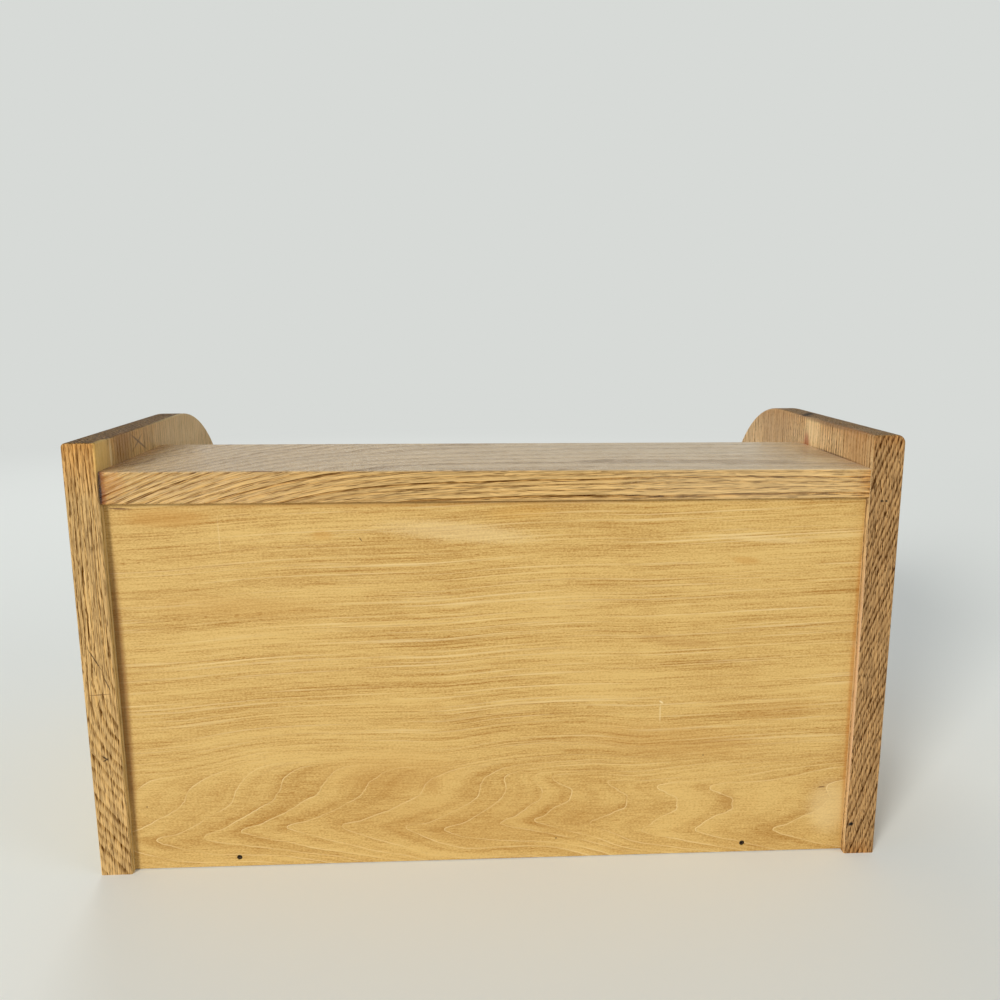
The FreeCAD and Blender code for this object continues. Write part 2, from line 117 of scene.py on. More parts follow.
def meshFrom(shape, name):
    # the mesh of a finished bmesh, which is freed
    mesh = bpy.data.meshes.new(name)
    shape.to_mesh(mesh)
    shape.free()
    return mesh


def joinRings(shape, rings):
    # quads between each closed ring of points and the next
    for one, two in zip(rings, rings[1:]):
        for i in range(len(one)):
            j = (i + 1) % len(one)
            shape.faces.new((one[i], one[j], two[j], two[i]))


def newMaterial(name):
    material = bpy.data.materials.new(name)
    material.use_nodes = True
    material.node_tree.nodes.clear()
    return material, material.node_tree


def finishMaterial(tree, colour, roughness, height, bump, shader):
    # bump is (strength, depth in millimetres); shader holds what is the same all over
    relief = addNode(tree, "Bump", {"Strength": bump[0], "Distance": bump[1] * mm, "Height": height})
    surface = addNode(tree, "BsdfPrincipled",
                      {"Base Color": colour, "Roughness": roughness, "Normal": relief, **shader})
    addNode(tree, "OutputMaterial", {"Surface": surface})


def dress(material, *names):
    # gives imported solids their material
    for name in names:
        for slot in cadNodes[name].material_slots:
            slot.material = material


def addPiece(name, mesh, body, replaced, material=None):
    # a piece of its own on a body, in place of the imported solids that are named
    piece = bpy.data.objects.new(name, mesh)
    bpy.context.scene.collection.objects.link(piece)
    if material:
        mesh.materials.clear()
        mesh.materials.append(material)
    mesh.shade_smooth()
    mesh.set_sharp_from_angle(angle=math.radians(sharpFrom))
    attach(piece, body)
    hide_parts(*replaced)
    return piece


# Camera, floor and light

view = {
    "place": (0.01751, 0.67715, 0.33341),
    "turn": (78.9497, 0.2619, 177.4943),   # degrees: a little above the box, looking at its back
    "lens": 33.136,
    "sensor": 36,
    "near": 0.01,
}
light = {
    "world": 0.42,
    "worldColour": "#F4F6FA",
    "floor": "#F1F4EE",
    "backdrop": "#D7DAD7",
    "floorRadius": 9,
    "floorRoughness": 0.9,
    "floorShine": 0.1,
    "floorFades": (0.7, 2.2),              # metres from the box over which the floor turns into the backdrop
    # place, point it faces, size in metres, level on a surface that faces it, colour, shows in reflections
    "key": ((4.95, 7.37, 3.63), (0, 0.1, 0.12), 2.4, 0.67, "#FFFEFC", True),
    "sideFill": ((-4.2, 2.4, 1.7), (0, 0, 0.15), 2.2, 0.13, "#FFFFFF", False),
    "frontFill": ((0.9, -3.6, 1.5), (0, 0, 0.1), 2.2, 0.36, "#FBFCFF", False),
}

scene = bpy.context.scene
scene.view_settings.view_transform = "Standard"
camera = bpy.data.objects.new("camera", bpy.data.cameras.new("camera"))
scene.collection.objects.link(camera)
camera.data.lens = view["lens"]
camera.data.sensor_width = view["sensor"]
camera.data.clip_start = view["near"]
camera.location = view["place"]
camera.rotation_euler = [math.radians(angle) for angle in view["turn"]]
scene.camera = camera


def seenDirectly(tree):
    # 1 for what the camera sees, plainly, in a gloss or through glass, and 0 for the light on the box
    ray = addNode(tree, "LightPath")
    seen = addNode(tree, "Math", [ray.outputs["Is Camera Ray"], ray.outputs["Is Glossy Ray"]],
                   operation="MAXIMUM")
    return addNode(tree, "Math", [seen, ray.outputs["Is Transmission Ray"]], operation="MAXIMUM")


world = bpy.data.worlds.new("studio")
world.use_nodes = True
scene.world = world
tree = world.node_tree
tree.nodes.clear()
soft = addNode(tree, "Background", {"Color": srgb(light["worldColour"]), "Strength": light["world"]})
shown = addNode(tree, "Background", {"Color": srgb(light["backdrop"]), "Strength": 1.0})
both = addNode(tree, "MixShader", [seenDirectly(tree), soft, shown])
addNode(tree, "OutputWorld", {"Surface": both})

for name in ("key", "sideFill", "frontFill"):
    place, target, size, level, colour, reflected = light[name]
    lamp = bpy.data.lights.new(name, "AREA")
    lamp.shape = "DISK"
    lamp.size = size
    away = Vector(place) - Vector(target)
    lamp.energy = level * math.pi ** 2 * away.length_squared
    lamp.color = srgb(colour)[:3]
    holder = bpy.data.objects.new(name, lamp)
    scene.collection.objects.link(holder)
    holder.location = place
    holder.rotation_euler = away.to_track_quat("Z", "Y").to_euler()
    holder.visible_camera = False
    holder.visible_glossy = reflected

disc = bmesh.new()
bmesh.ops.create_circle(disc, cap_ends=True, segments=96, radius=light["floorRadius"])
floorMesh = meshFrom(disc, "floor")
floor = bpy.data.objects.new("floor", floorMesh)
scene.collection.objects.link(floor)
material, tree = newMaterial("matteFloor")
coords = addNode(tree, "TexCoord")
away = addNode(tree, "VectorMath", [coords.outputs["Object"]], operation="LENGTH")
far = addNode(tree, "MapRange", [away.outputs["Value"], *light["floorFades"]],
              interpolation_type="SMOOTHSTEP")
far = addNode(tree, "Math", [far, seenDirectly(tree)], operation="MULTIPLY")
matte = addNode(tree, "BsdfPrincipled",
                {"Base Color": srgb(light["floor"]), "Roughness": light["floorRoughness"],
                 "Specular IOR Level": light["floorShine"]})
plain = addNode(tree, "Emission", {"Color": srgb(light["backdrop"]), "Strength": 1.0})
both = addNode(tree, "MixShader", [far, matte, plain])
addNode(tree, "OutputMaterial", {"Surface": both})
floorMesh.materials.append(material)
print("stage: camera, three lamps and a pale floor")


# Wood. Every board is cut from the same kind of block: rings a few millimetres apart, rows of open
# pores in their early wood, and fibres along the grain. Places are millimetres, with the grain along Z.

grain = {
    "bends": ((38, 260), (7, 60)),     # slow and quick bends of the rings: millimetres across and along
    "quickBend": 0.5,                  # in rings; the slow bend is each board's own
    "strength": (0.55, 0.45),          # how much the rings' strengths vary, and the weakest
    # how early the wood is from one ring's start to the next
    "year": [(0.0, 0.15), (0.05, 1.0), (0.3, 0.85), (0.5, 0.3), (0.75, 0.1), (1.0, 0.15)],
    # noises: millimetres across and along the grain, and detail
    "noises": {"sway": (4, 30, 0), "hair": (0.42, 13, 2), "thin": (2.6, 50, 1), "speck": (1.1, 3, 2),
               "fibre": (0.6, 16, 3), "shade": (11, 120, 3)},
    "stray": 0.7,                      # how open a pore is that keeps to no ring
    "poreSize": (0.36, 0.26),          # share of its cell that a pore fills: how it varies, and the least
    "poreShut": 0.03,                  # what is left of a closed pore
    "poreCore": 0.35,                  # share of a pore's width that is wholly dark
    "hairFrom": (0.47, 0.6),           # noise over which a hairline fades in
    "hairInRing": (0.6, 0.4),          # more hairlines in early wood, fewer in late wood
    "thin": 0.16,                      # depth of the thin pale and dark streaks
    "speck": (2.6, 0.85),              # how speckled end grain is, and how dark
    "poreRough": 0.3, "endRough": 0.1,         # added to the gloss in pores and on end grain
    "poreShine": -1.0, "endShine": -0.5,       # added to the varnish's shine there
    "fibreRelief": 0.25,
    "endFrom": (0.45, 0.95),           # how squarely a face has to cross the grain to be end grain
    "rearFrom": (0.5, 0.9),            # how squarely a face has to look backwards to be a rear edge
    "slatStep": (0.31, 0.17, 5.3),     # metres in the block between the slats of lowest and highest number
    "spreadElsewhere": 0.8,            # how widely the rings stand on faces other than the rear edges
    "paintedSheenLeast": 0.3,                  # share of the painted reflection's strength at the +X end
    "soakPatch": (160.0, 0.02),        # unevenness of the varnish near the ends: scale, and depth in metres
}


def ringsGroup():
    # planes bent by slow noise, each ring with its own strength; the outcome is how early the wood is
    tree, given = newGroup("rings", "ShaderNodeTree", {
        "Place": ("Vector", None),
        "Normal": ("Vector", (0.4, 0.1, 0.02)),        # rings per millimetre in each direction
        "Spread": ("Float", 1.0),              # wider rings where this falls
        "Shift": ("Float", 0.0),               # rings that the surface cuts at a slant
        "Warp": ("Float", 1.2),
    }, {"Early": "Float"})
    ring = addNode(tree, "VectorMath", [given["Place"], given["Normal"]], operation="DOT_PRODUCT")
    ring = addNode(tree, "Math", [ring.outputs["Value"], given["Spread"], given["Shift"]],
                   operation="MULTIPLY_ADD")
    for (across, along), amount in zip(grain["bends"], (given["Warp"], grain["quickBend"])):
        bend = addNode(tree, "VectorMath", [given["Place"], (1 / across, 1 / across, 1 / along)],
                       operation="MULTIPLY")
        bend = addNode(tree, "TexNoise", {"Vector": bend, "Scale": 1.0, "Detail": 1.0, "Roughness": 0.6})
        bend = addNode(tree, "Math", [bend.outputs["Fac"], 0.5], operation="SUBTRACT")
        ring = addNode(tree, "Math", [bend, amount, ring], operation="MULTIPLY_ADD")
    phase = addNode(tree, "Math", [ring], operation="FRACT")
    number = addNode(tree, "Math", [ring], operation="FLOOR")
    strength = addNode(tree, "TexWhiteNoise", {"W": number}, noise_dimensions="1D").outputs["Value"]
    strength = addNode(tree, "Math", [strength, *grain["strength"]], operation="MULTIPLY_ADD")
    early = addNode(tree, "ValToRGB", {0: phase}, points=grain["year"])
    early = addNode(tree, "Math", [early, strength], operation="MULTIPLY")
    addNode(tree, "NodeGroupOutput", {"Early": early})
    return tree


ringsTree = ringsGroup()


def solidWoodGroup():
    tree, given = newGroup("solidWood", "ShaderNodeTree", {
        "Place": ("Vector", None),
        "End": ("Float", 0.0),                 # 1 where the surface cuts across the grain
        "Ring Normal": ("Vector", (0.4, 0.1, 0.02)),
        "Ring Spread": ("Float", 1.0),
        "Ring Shift": ("Float", 0.0),
        "Ring Lean": ("Float", 0.0),           # how much the shift changes in a millimetre along the grain
        "Ring Warp": ("Float", 1.2),
        "Pore Width": ("Float", 0.7),
        "Pore Length": ("Float", 6.0),
        "Pore Amount": ("Float", 1.0),
        "Pore Scatter": ("Float", 0.2),        # share of the pores that keep to no ring
        "Hairlines": ("Float", 0.5),
        "Fibre": ("Float", 0.16),
        "Shade": ("Float", 0.16),
        "Late": ("Color", None),
        "Early": ("Color", None),
        "Pore": ("Color", None),
        "End Tone": ("Color", None),
        "Gloss": ("Float", 0.4),
    }, {"Colour": "Color", "Roughness": "Float", "Height": "Float", "Shine": "Float"})
    place = given["Place"]
    noises = {}
    for key, (across, along, detail) in grain["noises"].items():
        noise = addNode(tree, "VectorMath", [place, (1 / across, 1 / across, 1 / along)],
                        operation="MULTIPLY")
        noise = addNode(tree, "TexNoise", {"Vector": noise, "Scale": 1.0, "Detail": detail, "Roughness": 0.6})
        if key != "hair":
            noise = addNode(tree, "Math", [noise.outputs["Fac"], 0.5], operation="SUBTRACT")
        noises[key] = noise

    # pores: long thin cells, each of them wholly open or nearly closed by the ring its middle lies in
    sway = addNode(tree, "CombineXYZ", [noises["sway"], noises["sway"], 0.0])
    swayed = addNode(tree, "VectorMath", [place, sway], operation="ADD")
    cellSize = addNode(tree, "CombineXYZ", [given["Pore Width"], given["Pore Width"], given["Pore Length"]])
    cells = addNode(tree, "VectorMath", [swayed, cellSize], operation="DIVIDE")
    cells = addNode(tree, "TexVoronoi", {"Vector": cells, "Scale": 1.0})
    middle = addNode(tree, "VectorMath", [cells.outputs["Position"], cellSize], operation="MULTIPLY")
    away = addNode(tree, "VectorMath", [middle, swayed], operation="SUBTRACT")
    away = addNode(tree, "SeparateXYZ", [away]).outputs["Z"]
    away = addNode(tree, "Math", [away, given["Ring Lean"], given["Ring Shift"]], operation="MULTIPLY_ADD")
    early = []
    for spot, shift in ((place, given["Ring Shift"]), (middle, away)):
        early.append(addNode(tree, "Group", {
            "Place": spot, "Normal": given["Ring Normal"], "Spread": given["Ring Spread"], "Shift": shift,
            "Warp": given["Ring Warp"]}, node_tree=ringsTree))
    luck = addNode(tree, "SeparateColor", [cells.outputs["Color"]])
    opened = addNode(tree, "Math", [luck.outputs["Green"], given["Pore Scatter"]], operation="LESS_THAN")
    opened = addNode(tree, "Math", [opened, grain["stray"]], operation="MULTIPLY")
    opened = addNode(tree, "Math", [opened, early[1]], operation="MAXIMUM")
    wide = addNode(tree, "Math", [luck.outputs["Red"], *grain["poreSize"]], operation="MULTIPLY_ADD")
    wide = addNode(tree, "Math", [wide, opened], operation="MULTIPLY")
    wide = addNode(tree, "Math", [wide, given["Pore Amount"], grain["poreShut"]], operation="MULTIPLY_ADD")
    narrow = addNode(tree, "Math", [wide, grain["poreCore"]], operation="MULTIPLY")
    pore = addNode(tree, "MapRange", [cells.outputs["Distance"], wide, narrow],
                   interpolation_type="SMOOTHSTEP")
    early = early[0]
    # hairlines: the narrow pores between, seen only as thin brown lines
    hair = addNode(tree, "MapRange", [noises["hair"], *grain["hairFrom"]])
    hair = addNode(tree, "Math", [hair, given["Hairlines"]], operation="MULTIPLY")
    inRing = addNode(tree, "Math", [early, *grain["hairInRing"]], operation="MULTIPLY_ADD")
    hair = addNode(tree, "Math", [hair, inRing], operation="MULTIPLY")
    dark = addNode(tree, "Math", [pore, hair], operation="MAXIMUM")

    # colour: late to early wood, then fibres and slow shade, then the dark of the pores
    value = addNode(tree, "Math", [noises["fibre"], given["Fibre"], 0.5], operation="MULTIPLY_ADD")
    value = addNode(tree, "Math", [noises["shade"], given["Shade"], value], operation="MULTIPLY_ADD")
    value = addNode(tree, "Math", [noises["thin"], grain["thin"], value], operation="MULTIPLY_ADD")
    value = addNode(tree, "Math", [value, 2.0], operation="MULTIPLY")
    wood = addNode(tree, "Mix", {0: early, 6: given["Late"], 7: given["Early"]}, data_type="RGBA")
    wood = addNode(tree, "HueSaturation", {"Value": value, "Color": wood.outputs[2]})
    wood = addNode(tree, "Mix", {0: dark, 6: wood.outputs[0], 7: given["Pore"]}, data_type="RGBA")
    speck = addNode(tree, "Math", [noises["speck"], *grain["speck"]], operation="MULTIPLY_ADD")
    cut = addNode(tree, "Math", [given["End"], speck], operation="MULTIPLY", use_clamp=True)
    wood = addNode(tree, "Mix", {0: cut, 6: wood.outputs[2], 7: given["End Tone"]},
                   data_type="RGBA", blend_type="MULTIPLY")

    rough = addNode(tree, "Math", [dark, grain["poreRough"], given["Gloss"]], operation="MULTIPLY_ADD")
    rough = addNode(tree, "Math", [given["End"], grain["endRough"], rough], operation="MULTIPLY_ADD")
    height = addNode(tree, "Math", [noises["fibre"], grain["fibreRelief"], 1.0], operation="MULTIPLY_ADD")
    height = addNode(tree, "Math", [height, dark], operation="SUBTRACT")
    shine = addNode(tree, "Math", [dark, grain["poreShine"], 1.0], operation="MULTIPLY_ADD")
    shine = addNode(tree, "Math", [given["End"], grain["endShine"], shine],
                    operation="MULTIPLY_ADD", use_clamp=True)
    addNode(tree, "NodeGroupOutput",
            {"Colour": wood.outputs[2], "Roughness": rough, "Height": height, "Shine": shine})
    return tree


solidWood = solidWoodGroup()
markEdges = {
    "fineness": 900.0,         # scale of the noise in their ragged edges
    "solid": 0.35,             # share of a mark's reach that has its full strength
}


def addMarks(tree, where, colour, marks):
    # knots, cracks, pits and stains: soft ellipsoids. Each is its middle and its three half sizes (in
    # millimetres on the box), its lean in degrees (one about Y, or three about X, Y and Z), its colour,
    # strength and raggedness
    for middle, reach, lean, tone, strength, ragged in marks:
        leans = lean if isinstance(lean, tuple) else (0, lean, 0)
        near = addNode(tree, "Mapping",
                       {"Vector": where, "Location": Vector(middle) * mm, "Scale": Vector(reach) * mm,
                        "Rotation": [math.radians(angle) for angle in leans]}, vector_type="TEXTURE")
        away = addNode(tree, "VectorMath", [near], operation="LENGTH").outputs["Value"]
        edge = addNode(tree, "TexNoise", {"Vector": where, "Scale": markEdges["fineness"], "Detail": 2.0})
        away = addNode(tree, "Math", [edge.outputs["Fac"], ragged, away], operation="MULTIPLY_ADD")
        mask = addNode(tree, "MapRange",
                       [away, 1.0 + ragged / 2, markEdges["solid"] + ragged / 2, 0, strength],
                       interpolation_type="SMOOTHSTEP")
        colour = addNode(tree, "Mix", {0: mask, 6: colour, 7: srgb(tone)}, data_type="RGBA").outputs[2]
    return colour


# Red oak, planed, sanded and wiped with satin varnish: open pores show as brown dashes, the late wood
# is smooth and tan, end grain drinks the varnish and goes grey-brown, and the wood just before it is redder.
oak = {
    "late": "#CDA468", "early": "#B88C4E", "pore": "#4E2F12", "end": "#86807C",
    "soak": "#ECD2AE",         # what the wood near an end is multiplied by
    "soakLength": 12,          # millimetres from the end
    "soakLow": True,           # whether the lower end has soaked it up too
    "poreWidth": 0.62, "poreLength": 7.0,      # millimetres from one pore to the next
    "poreAmount": 1.4, "poreScatter": 0.14,
    "calm": 0.9,               # share of the pores and hairlines that faces other than the rear edges keep
    "hairlines": 0.8, "fibre": 0.45, "shade": 0.3, "gloss": 0.42,
    "bump": (0.45, 0.35), "varnish": 0.35, "refraction": 1.48,
}

# For each board: grain axis, shift of the block it was sawn from, rings per millimetre along each of
# the block's axes, and how far they bend. Drift is where the grain runs sideways (millimetres along,
# sideways), spread and slant how the rings widen and how many more are cut along the board (millimetres
# along, value). Edge is what the rear edges are multiplied by, and paintedSheen is a painted reflection
# on the top: the grey veil's colour, its strength, and the top's shine.
boards = {
    "side_left": {
        "grain": "Z", "shift": (120, -89.5, 900), "rings": (0.33, 0.25, 0.002), "warp": 2.4,
        "slant": [(0, 0), (90, 11), (180, 23.5), (267, 34)],
        "late": "#ECC890", "early": "#C89A5E", "pore": "#4E2C06", "end": "#8A8E98",
        "edge": "#CBBCA8", "soak": "#F4E4CC", "calm": 0.75,
        "poreAmount": 2.0, "poreLength": 3.2, "poreWidth": 0.42, "hairlines": 1.15, "fibre": 0.7,
        "marks": [
            ((-222.4, 156.2, 110), (0.8, 4, 120), 0, "#DEB284", 0.85, 0.8),        # painted highlight along the inner arris, where the key light falls
            ((-229.7, 156.2, 228), (1.3, 3, 1.0), 0, "#1E130A", 0.9, 0.3),         # two pinholes
            ((-232.3, 156.2, 228), (1.2, 3, 1.0), 0, "#1E130A", 0.9, 0.3),
            ((-225.6, 156.2, 20.3), (2.3, 3, 1.8), 30, "#0E0805", 1.0, 0.9),       # painted shade in a pit, drawn as a dark fleck in place of a hole
            ((-222.3, 62, 262), (3, 19, 26), 0, "#FFE0A4", 0.45, 0.9),             # pale round the knot
            ((-222.3, 52.5, 247.5), (3, 7.5, 12), 0, "#A8663E", 0.85, 0.5),        # knot
            ((-222.3, 95, 267.2), (2.5, 95, 3.4), 0, "#8A6844", 0.8, 0.6),         # arris sanded over
            ((-222.3, 100, 247.2), (2.5, 62, 1.8), 0, "#4E2C14", 0.75, 0.8),       # dark line along the joint with the top board
            ((-222.3, 134, 260), (3, 30, 30), 0, "#A06A30", 0.45, 1.0),            # browner to the rear
            ((-222.3, -14, 262), (3, 60, 40), 0, "#A87E4C", 0.5, 1.0),             # and to the front
            # crack from the knot to the outer face
            *[((-224 - 3 * i, 43 - 4.5 * i, 267), (2.2, 9, 1.5), 0, "#1E120A", 0.9, 0.4) for i in range(4)],
        ],
    },
    "side_right": {
        "grain": "Z", "shift": (-300, -25.4, 100), "rings": (0.46, 0.28, 0.0), "warp": 1.8,
        "spread": [(0, 0.34), (90, 0.4), (150, 0.85), (267, 1.0)],
        "slant": [(0, 16.5), (60, 9.0), (115, 3.0), (150, 0.6), (185, 0.0)],
        "late": "#DCBE80", "early": "#C6A25E", "pore": "#523006", "end": "#5A5044",
        "edge": "#F8EAE0", "soak": "#F6DDB2", "soakLength": 35, "soakLow": False, "calm": 0.7,
        "poreAmount": 1.5, "poreLength": 5.5, "poreWidth": 0.4, "hairlines": 1.1, "fibre": 0.7,
        "marks": [
            ((232.2, 156.2, 117.5), (8.5, 3, 0.45), 3, "#6E4C2A", 0.8, 0.3),       # hairline across
            ((233, 156.2, 139), (9.5, 3, 0.5), -62, "#3E2610", 0.9, 1.1),          # dark line down to it
            ((227.4, 156.2, 124.5), (7.5, 3, 0.5), -70, "#3E2610", 0.75, 1.1),
            ((232.5, 156.2, 77.4), (3.2, 3, 0.8), -35, "#2E1C0C", 0.9, 0.8),       # two nicks
            ((232.0, 156.2, 76.0), (2.6, 3, 0.7), 30, "#2E1C0C", 0.8, 0.8),
            ((222.3, -20, 262), (3, 105, 30), 0, "#EACE94", 0.5, 0.4),             # painted light: the inner face paler towards the front, where more light reaches
            ((222.3, 147, 258), (3, 15, 26), 0, "#F0C870", 0.6, 0.5),              # yellow, then brown
            ((222.3, 114, 260), (3, 19, 26), 0, "#845418", 0.5, 0.5),
            ((222.5, 156.2, 240), (0.6, 4, 14), 0, "#4A2A12", 0.6, 0.5),           # glue in the joint, with the painted shadow of the gap beside the top board
            ((222.3, 133.4, 258), (3, 2.6, 12), 0, "#F0D8A0", 0.6, 0.3),           # pale line between them
            ((222.3, 84.7, 258.4), (3, 20, 1.1), (25, 0, 0), "#5E4020", 0.7, 0.3),     # crossed cracks inside
            ((222.3, 87.5, 258.6), (3, 13, 1.0), (-25, 0, 0), "#6A4824", 0.6, 0.3),
        ],
    },
    "top_board": {
        "grain": "X", "shift": (56.6, -130, 400), "rings": (0.30, 0.05, 0.004), "warp": 2.6,
        "drift": [(-230, 3), (0, 0), (60, -3), (120, -12), (170, -26), (230, -50)], "driftAxis": "Z",
        "late": "#D8B273", "early": "#B98843", "pore": "#482404",
        # paintedSheen: a painted reflection, a grey veil over the top face, and the top's shine
        "paintedSheen": ("#DCCEB0", 0.42, 0.85), "soak": "#F2DCC0", "calm": 0.85, "gloss": 0.25, "varnish": 0.3,
        "poreWidth": 0.42, "poreLength": 11.0, "poreAmount": 1.7, "poreScatter": 0.16,
        "hairlines": 0.95, "fibre": 0.5,
        "marks": [
            ((221.4, 155.5, 241), (4, 6, 20), 0, "#7A3E16", 0.8, 0.6),             # glue in the joint, with the painted shadow of the gap between the board's end and the side
            ((221.8, 155.5, 241), (1.5, 6, 15), 0, "#221008", 0.95, 0.3),
            ((214, 155.5, 243), (9, 3, 9), 0, "#B98244", 0.5, 0.9),
            ((215, 155.5, 231), (8, 3, 1.0), 4, "#6A3A1C", 0.7, 0.5),              # a chip under the board's end, painted as the shadow in its gap
            ((131, 155.5, 249.6), (13, 3, 0.5), 0, "#5A3418", 0.7, 0.9),           # splinter off the arris
            ((130, 155.5, 241), (90, 3, 30), 0, "#B4864A", 0.1, 1.2),              # browner
            ((-150, 155.5, 241), (100, 3, 30), 0, "#E6CEA4", 0.13, 1.2),           # paler, less varnish
            ((-196, 118, 249), (24, 1.2, 3), 0, "#6E5232", 0.6, 0.9),              # dark line on top
            ((-212, 92, 249), (14, 30, 4), 0, "#8A6238", 0.4, 1.2),                # and brown round it
        ],
    },
    "shelf_board": {"grain": "X", "shift": (-210, 80, 0), "rings": (0.30, 0.08, 0.01), "warp": 2.0},
    "bottom_board": {"grain": "X", "shift": (400, -60, 70), "rings": (0.22, 0.12, 0.01), "warp": 2.0},
    "drawer_front": {"grain": "X", "shift": (33, 44, 260), "rings": (0.10, 0.22, 0.008), "warp": 3.2},
    "curtain_pull_rail": {"grain": "X", "shift": (640, 15, -100), "rings": (0.22, 0.28, 0.006), "warp": 1.8},
}


def woodMaterial(name, wood, board, ends=None):
    # ends: where the board's two ends are along its grain, in metres, for the wood darkens towards them
    material, tree = newMaterial(name)
    look = {**wood, **board}
    coords = addNode(tree, "TexCoord")
    where = coords.outputs["Object"]
    turn = {"X": (0, -90, 0), "Y": (90, 0, 0), "Z": (0, 0, 0)}[look["grain"]]
    axis = [float(letter == look["grain"]) for letter in "XYZ"]
    along = addNode(tree, "SeparateXYZ", [where]).outputs[look["grain"]]
    grown = where
    if "drift" in look:
        drift = addNode(tree, "FloatCurve", {"Value": along},
                        points=[(x * mm, y * mm) for x, y in look["drift"]])
        drift = addNode(tree, "CombineXYZ", {look["driftAxis"]: drift})
        grown = addNode(tree, "VectorMath", [where, drift], operation="SUBTRACT")
    if "cut" in look:
        # every slat has its own number, which moves its wood elsewhere in the block
        own = addNode(tree, "Attribute", attribute_name=look["cut"])
        own = addNode(tree, "VectorMath", {0: grain["slatStep"], "Scale": own.outputs["Fac"]},
                      operation="SCALE")
        grown = addNode(tree, "VectorMath", [grown, own], operation="ADD")
    place = addNode(tree, "Mapping",
                    {"Vector": grown, "Scale": (1000, 1000, 1000), "Location": look["shift"],
                     "Rotation": [math.radians(angle) for angle in turn]})
    facing = addNode(tree, "VectorMath", [coords.outputs["Normal"], axis], operation="DOT_PRODUCT")
    facing = addNode(tree, "Math", [facing.outputs["Value"]], operation="ABSOLUTE")
    facing = addNode(tree, "MapRange", [facing, *grain["endFrom"]], interpolation_type="SMOOTHSTEP")
    values = {"Place": place, "End": facing, "Ring Normal": look["rings"], "Ring Warp": look["warp"]}
    for socket, key in (("Pore Width", "poreWidth"), ("Pore Length", "poreLength"),
                        ("Pore Amount", "poreAmount"), ("Pore Scatter", "poreScatter"),
                        ("Hairlines", "hairlines"), ("Fibre", "fibre"), ("Shade", "shade"),
                        ("Gloss", "gloss")):
        values[socket] = look[key]
    for socket, key in (("Late", "late"), ("Early", "early"), ("Pore", "pore"), ("End Tone", "end")):
        values[socket] = srgb(look[key])
    # the rear edges: cut at a slant to the rings, with more open pores, and multiplied by a tone of their own
    facing = addNode(tree, "SeparateXYZ", [coords.outputs["Normal"]])
    upward = facing.outputs["Z"]
    rear = addNode(tree, "MapRange", [facing.outputs["Y"], *grain["rearFrom"]])
    if "calm" in look:
        for socket, key in (("Pore Amount", "poreAmount"), ("Hairlines", "hairlines")):
            values[socket] = addNode(tree, "MapRange", [rear, 0, 1, look[key] * look["calm"], look[key]])
    if "spread" in look:
        spread = addNode(tree, "FloatCurve", {"Value": along},
                         points=[(x * mm, y) for x, y in look["spread"]])
        values["Ring Spread"] = addNode(tree, "MapRange", [rear, 0, 1, grain["spreadElsewhere"], spread])
    if "slant" in look:
        slant = []
        for further in (0.0, mm):
            spot = addNode(tree, "Math", [along, further], operation="ADD")
            spot = addNode(tree, "FloatCurve", {"Value": spot},
                           points=[(x * mm, y) for x, y in look["slant"]])
            slant.append(addNode(tree, "Math", [spot, rear], operation="MULTIPLY"))
        values["Ring Shift"] = slant[0]
        values["Ring Lean"] = addNode(tree, "Math", [slant[1], slant[0]], operation="SUBTRACT")
    group = addNode(tree, "Group", values, node_tree=solidWood)
    shine = look["varnish"]
    layers = []                # strength, colour and blend of each tone over the whole
    if ends:
        low = ends[0] if look["soakLow"] else ends[0] - 1
        middle, half = (low + ends[1]) / 2, (ends[1] - low) / 2
        fromEnd = addNode(tree, "Math", [along, middle], operation="SUBTRACT")
        fromEnd = addNode(tree, "Math", [fromEnd], operation="ABSOLUTE")
        fromEnd = addNode(tree, "Math", [fromEnd, half], operation="SUBTRACT")
        patch = addNode(tree, "TexNoise", {"Vector": where, "Scale": grain["soakPatch"][0], "Detail": 2.0})
        patch = addNode(tree, "Math", [patch.outputs["Fac"], 0.5], operation="SUBTRACT")
        fromEnd = addNode(tree, "Math", [patch, grain["soakPatch"][1], fromEnd], operation="MULTIPLY_ADD")
        soaked = addNode(tree, "MapRange", [fromEnd, -look["soakLength"] * mm, 0.0])
        layers.append((soaked, look["soak"], "MULTIPLY"))
    if "edge" in look:
        layers.append((rear, look["edge"], "MULTIPLY"))
    if "paintedSheen" in look:
        # painted reflection: upward faces get a grey veil, stronger towards -X
        paintedSheen, strength, topShine = look["paintedSheen"]
        upward = addNode(tree, "Math", [upward, 0.5], operation="GREATER_THAN")
        paintedSheenMask = addNode(tree, "MapRange", [along, ends[1], ends[0], strength * grain["paintedSheenLeast"], strength])
        paintedSheenMask = addNode(tree, "Math", [paintedSheenMask, upward], operation="MULTIPLY")
        shine = addNode(tree, "MapRange", [upward, 0, 1, shine, topShine])
        layers.append((paintedSheenMask, paintedSheen, "MIX"))
    colour = group.outputs["Colour"]
    for strength, tone, blend in layers:
        colour = addNode(tree, "Mix", {0: strength, 6: colour, 7: srgb(tone)}, data_type="RGBA",
                         blend_type=blend).outputs[2]
    colour = addMarks(tree, where, colour, look.get("marks", []))
    # the varnish shines between the pores, and not in them
    shine = addNode(tree, "Math", [group.outputs["Shine"], shine], operation="MULTIPLY")
    finishMaterial(tree, colour, group.outputs["Roughness"], group.outputs["Height"], look["bump"],
                   {"IOR": look["refraction"], "Specular IOR Level": shine})
    return material


for name, board in boards.items():
    index = "XYZ".index(board["grain"])
    low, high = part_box(name)
    dress(woodMaterial("varnishedOak_" + name, oak, board, (low[index], high[index])), name)
knob = {"grain": "Y", "shift": (90, 20, 300), "rings": (0.24, 0.2, 0.0), "warp": 1.6, "end": "#A8947A"}
dress(woodMaterial("varnishedOak_knobs", oak, knob),
      "curtain_knob_left", "curtain_knob_right", "drawer_knob_left", "drawer_knob_right")

